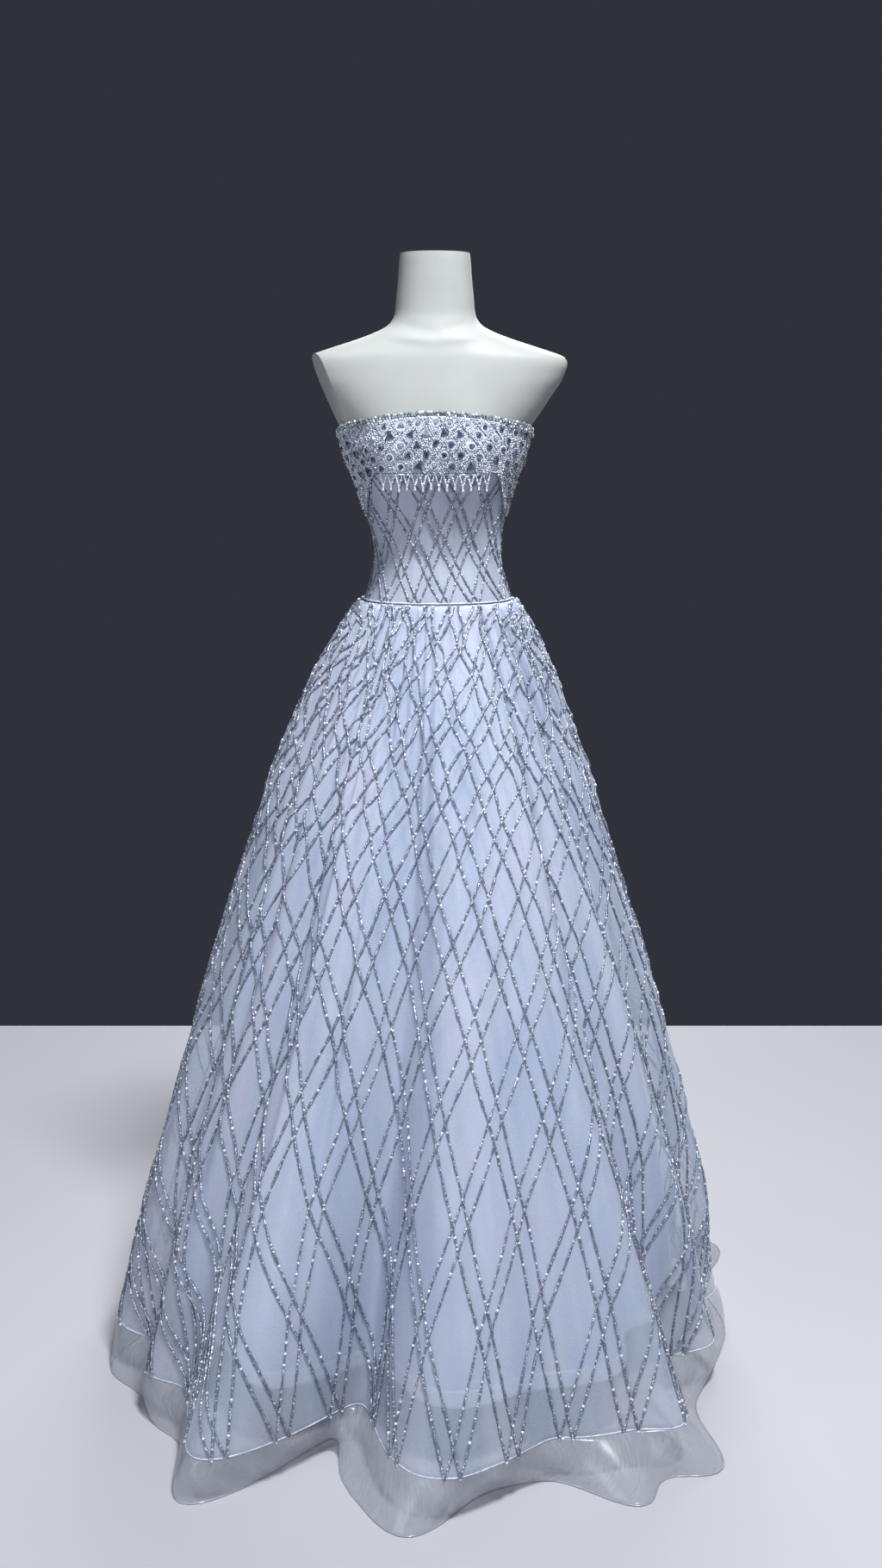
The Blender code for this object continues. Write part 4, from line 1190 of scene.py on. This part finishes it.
gemLevels = ((0.86, -0.15), (1.0, 0.30), (0.92, 0.52), (0.55, 1.0))
beadLevels = ((0.6, 0.0), (1.0, 0.4), (0.62, 0.86))
gemShapes = dict(
    round=shapeObject("roundGem", ovalRings(0.0098, 0.0098, 0.0038, 10, gemLevels)),
    oval=shapeObject("ovalGem", ovalRings(0.0092, 0.0136, 0.0040, 10, gemLevels)),
    triangle=shapeObject("triangleGem", ovalRings(0.0185, 0.0185, 0.0042, 3, gemLevels, 1.0, math.pi / 2)),
    bead=shapeObject("seedBead", ovalRings(0.0030, 0.0030, 0.0026, 6, beadLevels)),
    edge=shapeObject("edgeGem", ovalRings(0.0050, 0.0050, 0.0030, 7, gemLevels)),
)


def gemPlaces():
    # a staggered grid over the band: the azimuth, height, kind and size of each stone
    chance = np.random.default_rng(11)
    places = []
    for panel, first, last in bandPanels():
        for row in range(11):
            shift = 0.5 * (row % 2)
            for cell in range(-9, 26):
                azimuth = band["stoneTurn"] * (cell + shift) + chance.uniform(-0.9, 0.9)
                level = neckline(azimuth) - band["firstRow"] - band["stoneRow"] * row
                height = level + chance.uniform(-0.0012, 0.0012)
                kind = chance.choice(["round", "oval", "triangle"], p=[0.34, 0.28, 0.38])
                size, spin = chance.uniform(0.72, 1.10), chance.uniform(-0.6, 0.6)
                pale = chance.random() < 0.2
                inside = first + 3.0 < azimuth < last - 3.0 and height > bandEdge(azimuth) + 0.007
                if inside:
                    place = (panel, float(azimuth), float(height), str(kind))
                    places.append((*place, size, spin, bool(pale), row))
    return places


def jewelBand():
    places = gemPlaces()
    for panel, first, last in bandPanels():
        here = [p for p in places if p[0] == panel]
        setGems(panel, here)
        setRings(panel, here)
        bandTrellis(panel, first, last)
        fillBeads(panel, here, first, last)


def onBand(azimuth, height, lift=0.0):
    azimuth, height = np.asarray(azimuth, float), np.asarray(height, float)
    normals = outwardNormals(bandTop, azimuth, height)
    return at(azimuth, bandTop(azimuth, height), height) + lift * normals, normals


def setGems(panel, here):
    for kind in ("round", "oval", "triangle"):
        for pale in (False, True):
            chosen = [p for p in here if p[3] == kind and p[6] == pale]
            if not chosen:
                continue
            points, normals = onBand([p[1] for p in chosen], [p[2] for p in chosen], 0.0004)
            sizes = [p[4] * (0.78 if p[7] < 1 else 1.0) for p in chosen]
            look = "paleStones" if pale else "darkStones"
            name = f"{kind}{'Pale' if pale else 'Dark'}Stones_{panel}"
            spins = [p[5] for p in chosen]
            scatterPiece(name, gemShapes[kind], look, points, normals, sizes, spins)


def setRings(panel, here):
    # a collar of white beads round each stone
    azimuths, heights = [], []
    for _, azimuth, height, kind, size, _, _, _ in here:
        reach = dict(round=0.0072, oval=0.0080, triangle=0.0088)[kind] * size
        count = 13
        for i in range(count):
            angle = 2 * math.pi * i / count
            aside = reach * math.cos(angle) / float(bandTop(azimuth, height))
            azimuths.append(azimuth + math.degrees(aside))
            heights.append(height + reach * math.sin(angle))
    points, normals = onBand(azimuths, heights)
    sizes = np.full(len(azimuths), 0.92)
    spins = np.zeros(len(azimuths))
    name, bead = "stoneCollars_" + panel, gemShapes["bead"]
    scatterPiece(name, bead, "whiteBeads", points, normals, sizes, spins)


def bandTrellis(panel, first, last):
    size = dict(step=0.0016, lift=0.0011)
    turn, row = band["stoneTurn"], band["stoneRow"]
    paths = []
    for cell in range(-24, 60):
        for side in (-1, 1):
            drops = np.arange(0.002, 0.16, size["step"])
            azimuths = turn * (cell + 0.5) + side * (drops - band["firstRow"]) / (2 * row) * turn
            heights = neckline(azimuths) - band["topInset"] - drops + 0.006
            kept = (azimuths > first + 0.4) & (azimuths < last - 0.4)
            kept &= (heights > bandEdge(azimuths) + 0.002) & (heights < neckline(azimuths) - 0.010)
            if kept.sum() > 3:
                points, _ = onBand(azimuths[kept], heights[kept], size["lift"])
                paths.append(points)
    # a slate bead thread along the band's lower edge: partly a real edging, partly a dark line put there as
    # painted shadow under the edge
    turns = np.linspace(first, last, round((last - first) * 1.5))
    edge, _ = onBand(turns, bandEdge(turns) + size["step"] / 2, 0.0002)
    paths.append(edge)
    sizes = dict(thread=0.0010, threadStep=0.0022, beadStep=0.0030, bead=0.0014)
    stringPiece("bandTrellis_" + panel, paths, sizes, "band_beads", "glitter", "slateBeads", 9)


def fillBeads(panel, here, first, last):
    # white beads sewn close together wherever there is room for them
    size = dict(pitch=0.0036, jitter=0.0008, clear=0.0092)
    chance = np.random.default_rng(23)
    stones = np.array([(p[1], p[2]) for p in here])
    azimuths, heights = [], []
    for row in range(45):
        drop = 0.008 + row * size["pitch"] * 0.88
        radius = 0.13
        step = math.degrees(size["pitch"] / radius)
        turns = np.arange(first + 0.8, last - 0.8, step) + (row % 2) * step / 2
        turns = turns + chance.uniform(-1, 1, len(turns)) * math.degrees(size["jitter"] / radius)
        levels = neckline(turns) - drop + chance.uniform(-1, 1, len(turns)) * size["jitter"]
        for turn, level in zip(turns, levels):
            if level < bandEdge(turn) + 0.002 or turn > last - 0.6:
                continue
            apart = np.hypot(np.radians(stones[:, 0] - turn) * radius, stones[:, 1] - level)
            if apart.min() > size["clear"]:
                azimuths.append(turn)
                heights.append(level)
    points, normals = onBand(azimuths, heights)
    sizes = chance.uniform(0.7, 1.08, len(azimuths))
    spins = chance.uniform(0, 3, len(azimuths))
    name, bead = "bandBeads_" + panel, gemShapes["bead"]
    scatterPiece(name, bead, "whiteBeads", points, normals, sizes, spins)


makeBand()
jewelBand()
print("jewelled band done")


# Stones along the neckline
def necklineTrim():
    rows = ((0.0004, 1.1), (0.0046, 1.05), (0.0088, 0.9))
    size = dict(rows=rows, pitch=0.0050, strip=0.0050, depth=0.0014)
    chance = np.random.default_rng(31)
    for panel, first, last in bandPanels():
        azimuths = np.linspace(first, last, round((last - first) * 1.5))
        share = np.linspace(0, 1, 5)[:, None]
        top = neckline(azimuths)[None, :]
        heights = top - size["strip"] * share
        radii = bodiceRadius(azimuths[None, :], top) + ease["band"] + size["depth"] + 0.0 * share
        strip = clothShell(
            "trimTape_" + panel,
            at(azimuths[None, :], radii, heights),
            finishes["bandCloth"],
            0.0012,
            "trim_stones",
            ["neckline_trim_" + panel],
        )
        turns, levels, sizes = [], [], []
        for row, (drop, scale) in enumerate(size["rows"]):
            step = math.degrees(size["pitch"] / 0.13)
            places = np.arange(first + 1.0 + row * step / 2, last - 0.8, step)
            turns += list(places)
            levels += list(neckline(places) - drop + chance.uniform(-0.0009, 0.0009, len(places)))
            sizes += list(scale * chance.uniform(0.68, 1.18, len(places)))
        turns, levels = np.array(turns), np.array(levels)
        outer = bodiceRadius(turns, neckline(turns)) + ease["band"] + size["depth"]
        normals = at(turns, 1.0, 0.0 * turns)
        points = at(turns, outer, levels)
        spins = chance.uniform(0, 3, len(turns))
        pale = chance.random(len(turns)) < 0.3
        for label, chosen in (("edgeStones", ~pale), ("whiteBeads", pale)):
            shapeUsed = gemShapes["edge"] if label == "edgeStones" else gemShapes["bead"]
            grow = 1.0 if label == "edgeStones" else 1.35
            scatterPiece(
                f"{label}_{panel}",
                shapeUsed,
                label,
                points[chosen],
                normals[chosen],
                np.array(sizes)[chosen] * grow,
                spins[chosen],
            )
        cut = at(azimuths[None, :], radii, heights)
        declareSheet(cut)


necklineTrim()
print("neckline done")


# Bead loops under the band's straight edge
def beadFringe():
    size = dict(count=14, halfWidth=0.086, loop=0.0052, top=1.3915, length=0.0245, drop=0.0060)
    pitch = 2 * size["halfWidth"] / size["count"]

    def place(across, height):
        turn = math.degrees(across / float(bandRadius(0.0, 1.392)))
        radius = float(bandRadius(turn, 1.392)) + ease["bandWall"] / 2
        azimuth = math.degrees(math.asin(across / radius))
        return at(azimuth, radius, height)

    paths, drops = [], []
    for index in range(size["count"]):
        centre = -size["halfWidth"] + pitch * (index + 0.5)
        low = size["top"] - size["length"] + size["drop"] + 0.0015 * math.sin(index * 2.3)
        for side in (-1, 1):
            path = []
            for t in np.linspace(0, 1, 7):
                across = centre + side * size["loop"] * (1 - t)
                path.append(place(across, size["top"] + (low - size["top"]) * t))
            paths.append(path)
        drops.append(place(centre, low - 0.0040))
    header = [place(x, size["top"]) for x in np.linspace(-size["halfWidth"], size["halfWidth"], 40)]
    sizes = dict(thread=0.0006, threadStep=0.003, beadStep=0.0027, bead=0.0016)
    looks = ("fringe_beads", "whiteBeads", "whiteBeads", 13)
    mesh = stringPiece("fringeLoops", [*paths, header], sizes, *looks)
    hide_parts("bead_fringe")
    dropLevels = ((0.35, -0.42), (0.85, -0.30), (1.0, -0.08), (0.72, 0.22), (0.25, 0.55))
    teardrop = shapeObject("teardrop", ovalRings(0.0038, 0.0038, 0.0072, 10, dropLevels))
    upright = np.tile([0.0, 0.0, 1.0], (len(drops), 1))
    count = len(drops)
    ones, spins = np.ones(count), np.zeros(count)
    scatterPiece("fringeDrops", teardrop, "sparks", drops, upright, ones, spins)
    bpy.data.objects.remove(teardrop)


beadFringe()
print("fringe done")


# Waist seam piping
def makePiping():
    size = dict(height=0.0030, depth=0.0016, low=1.1886, columns=240)
    for panel in panels:
        azimuths = panelColumns(panel, size["columns"], 0.1)
        inner = bodiceRadius(azimuths, size["low"]) + 0.0006
        centre = at(azimuths, inner + size["depth"] / 2, size["low"] + size["height"] / 2)
        sizes = dict(thread=0.0013, threadStep=0.004, beadStep=9.0, bead=0.0001)
        cord = stringPiece("piping_" + panel, [centre], sizes, "piping_satin", "piping", "piping")
        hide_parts("waist_piping_" + panel)


makePiping()
print("piping done")


# Centre-back zip
def makeZip():
    size = dict(top=1.447, low=1.192, pitch=0.0019, gap=(1.4280, 1.4400), tape=0.0062, lift=0.0002)
    heights = np.arange(size["low"], size["top"], size["pitch"])
    heights = heights[(heights < size["gap"][0]) | (heights > size["gap"][1])]
    tooth = [(-0.0011, -0.0004), (0.0011, -0.0004), (0.0011, 0.0004), (-0.0011, 0.0004)]
    shapeMade = shapeObject("tooth", [[(x, y, z) for x, y in tooth] for z in (0.0, 0.0011)])
    offsets = np.where(np.arange(len(heights)) % 2, 0.0007, -0.0007)
    radii = bodiceRadius(180.0, heights) + size["lift"]
    points = np.stack([offsets, radii, heights], axis=-1)
    normals = np.tile([0.0, 1.0, 0.0], (len(heights), 1))
    ones = np.ones(len(heights))
    scatterPiece("zipTeeth", shapeMade, "zipMetal", points, normals, ones, 0 * ones)
    bpy.data.objects.remove(shapeMade)
    for side in (-1, 1):
        inner, outer = 0.0018, size["tape"]
        across = np.linspace(side * inner, side * outer, 4)[None, :]
        across = across if side < 0 else across[:, ::-1]
        levels = np.linspace(size["top"], size["low"], 60)[:, None]
        azimuths = 180.0 - np.degrees(across / 0.1)
        grid = at(azimuths, bodiceRadius(azimuths, levels) + 0.0004, levels + 0 * across)
        where = "left" if side > 0 else "right"
        tape = clothShell("zipTape_" + where, grid, finishes["tape"], 0.0003, "bodice_cloth", [])
        declareSheet(grid)


makeZip()
for name in ("zip_slider", "zip_pull_tab"):
    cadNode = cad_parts[name]
    cadNode.data.materials.clear()
    cadNode.data.materials.append(finishes["zipMetal"])
for leftover in gemShapes.values():
    bpy.data.objects.remove(leftover)
print("zip done")


# Floor, light and camera
def makeStage():
    floor = dict(width=12.0, ahead=6.0, behind=1.35, color=(0.46, 0.46, 0.50))
    made = finish("floor", Roughness=0.7)
    vector = placed(made)
    darker = tuple(0.97 * c for c in floor["color"])
    soft = noiseOn(made, vector, 1.5, 2.0)
    link(made, ramp(made, soft, ((0.3, darker), (0.7, floor["color"]))), made.shader.inputs["Base Color"])
    half = floor["width"] / 2
    near, far = -floor["ahead"], floor["behind"]
    corners = [(-half, near), (half, near), (half, far), (-half, far)]
    mesh = bpy.data.meshes.new("floor")
    mesh.from_pydata([(x, y, 0.0) for x, y in corners], [], [(0, 1, 2, 3)])
    mesh.materials.append(made.material)
    plane = bpy.data.objects.new("floor", mesh)
    bpy.context.scene.collection.objects.link(plane)
    world = bpy.data.worlds.new("studio")
    bpy.context.scene.world = world
    world.use_nodes = True
    background = world.node_tree.nodes["Background"]
    background.inputs["Color"].default_value = (0.030, 0.032, 0.042, 1.0)
    background.inputs["Strength"].default_value = 1.0
    bpy.context.scene.view_settings.view_transform = "Standard"


def addLight(name, place, target, size, power, color):
    lamp = bpy.data.lights.new(name, "AREA")
    lamp.shape = "SQUARE"
    lamp.size = size
    lamp.energy = power
    lamp.color = color
    made = bpy.data.objects.new(name, lamp)
    made.location = place
    made.rotation_euler = (Vector(target) - Vector(place)).to_track_quat("-Z", "Y").to_euler()
    bpy.context.scene.collection.objects.link(made)


def addCamera():
    view = dict(distance=2.76, height=1.485, pitch=3.0, focalPixels=1998.0, width=1024, rows=1820)
    principal = dict(x=505.0, y=585.0)
    camera = bpy.data.cameras.new("camera")
    camera.sensor_width = 36.0
    camera.sensor_fit = "AUTO"
    camera.lens = view["focalPixels"] / view["rows"] * 36.0
    camera.shift_x = (view["width"] / 2 - principal["x"]) / view["rows"]
    camera.shift_y = -(view["rows"] / 2 - principal["y"]) / view["rows"]
    made = bpy.data.objects.new("camera", camera)
    made.location = (0.0, -view["distance"], view["height"])
    made.rotation_euler = (math.radians(90.0 - view["pitch"]), 0.0, 0.0)
    bpy.context.scene.collection.objects.link(made)
    bpy.context.scene.camera = made


makeStage()
addLight("key", (0.7, -1.35, 4.3), (0.0, -0.1, 0.9), 0.6, 222.0, (0.98, 0.99, 1.0))
addLight("fill", (-2.5, -3.0, 1.4), (0.0, 0.0, 0.8), 2.4, 46.0, (0.93, 0.94, 1.0))
addLight("front", (2.4, -3.4, 1.6), (0.0, 0.0, 0.8), 2.2, 20.0, (0.94, 0.98, 1.0))
addLight("back", (0.4, 2.9, 2.8), (0.0, 0.0, 0.9), 2.0, 85.0, (0.95, 0.98, 1.0))
addCamera()
print("stage done")
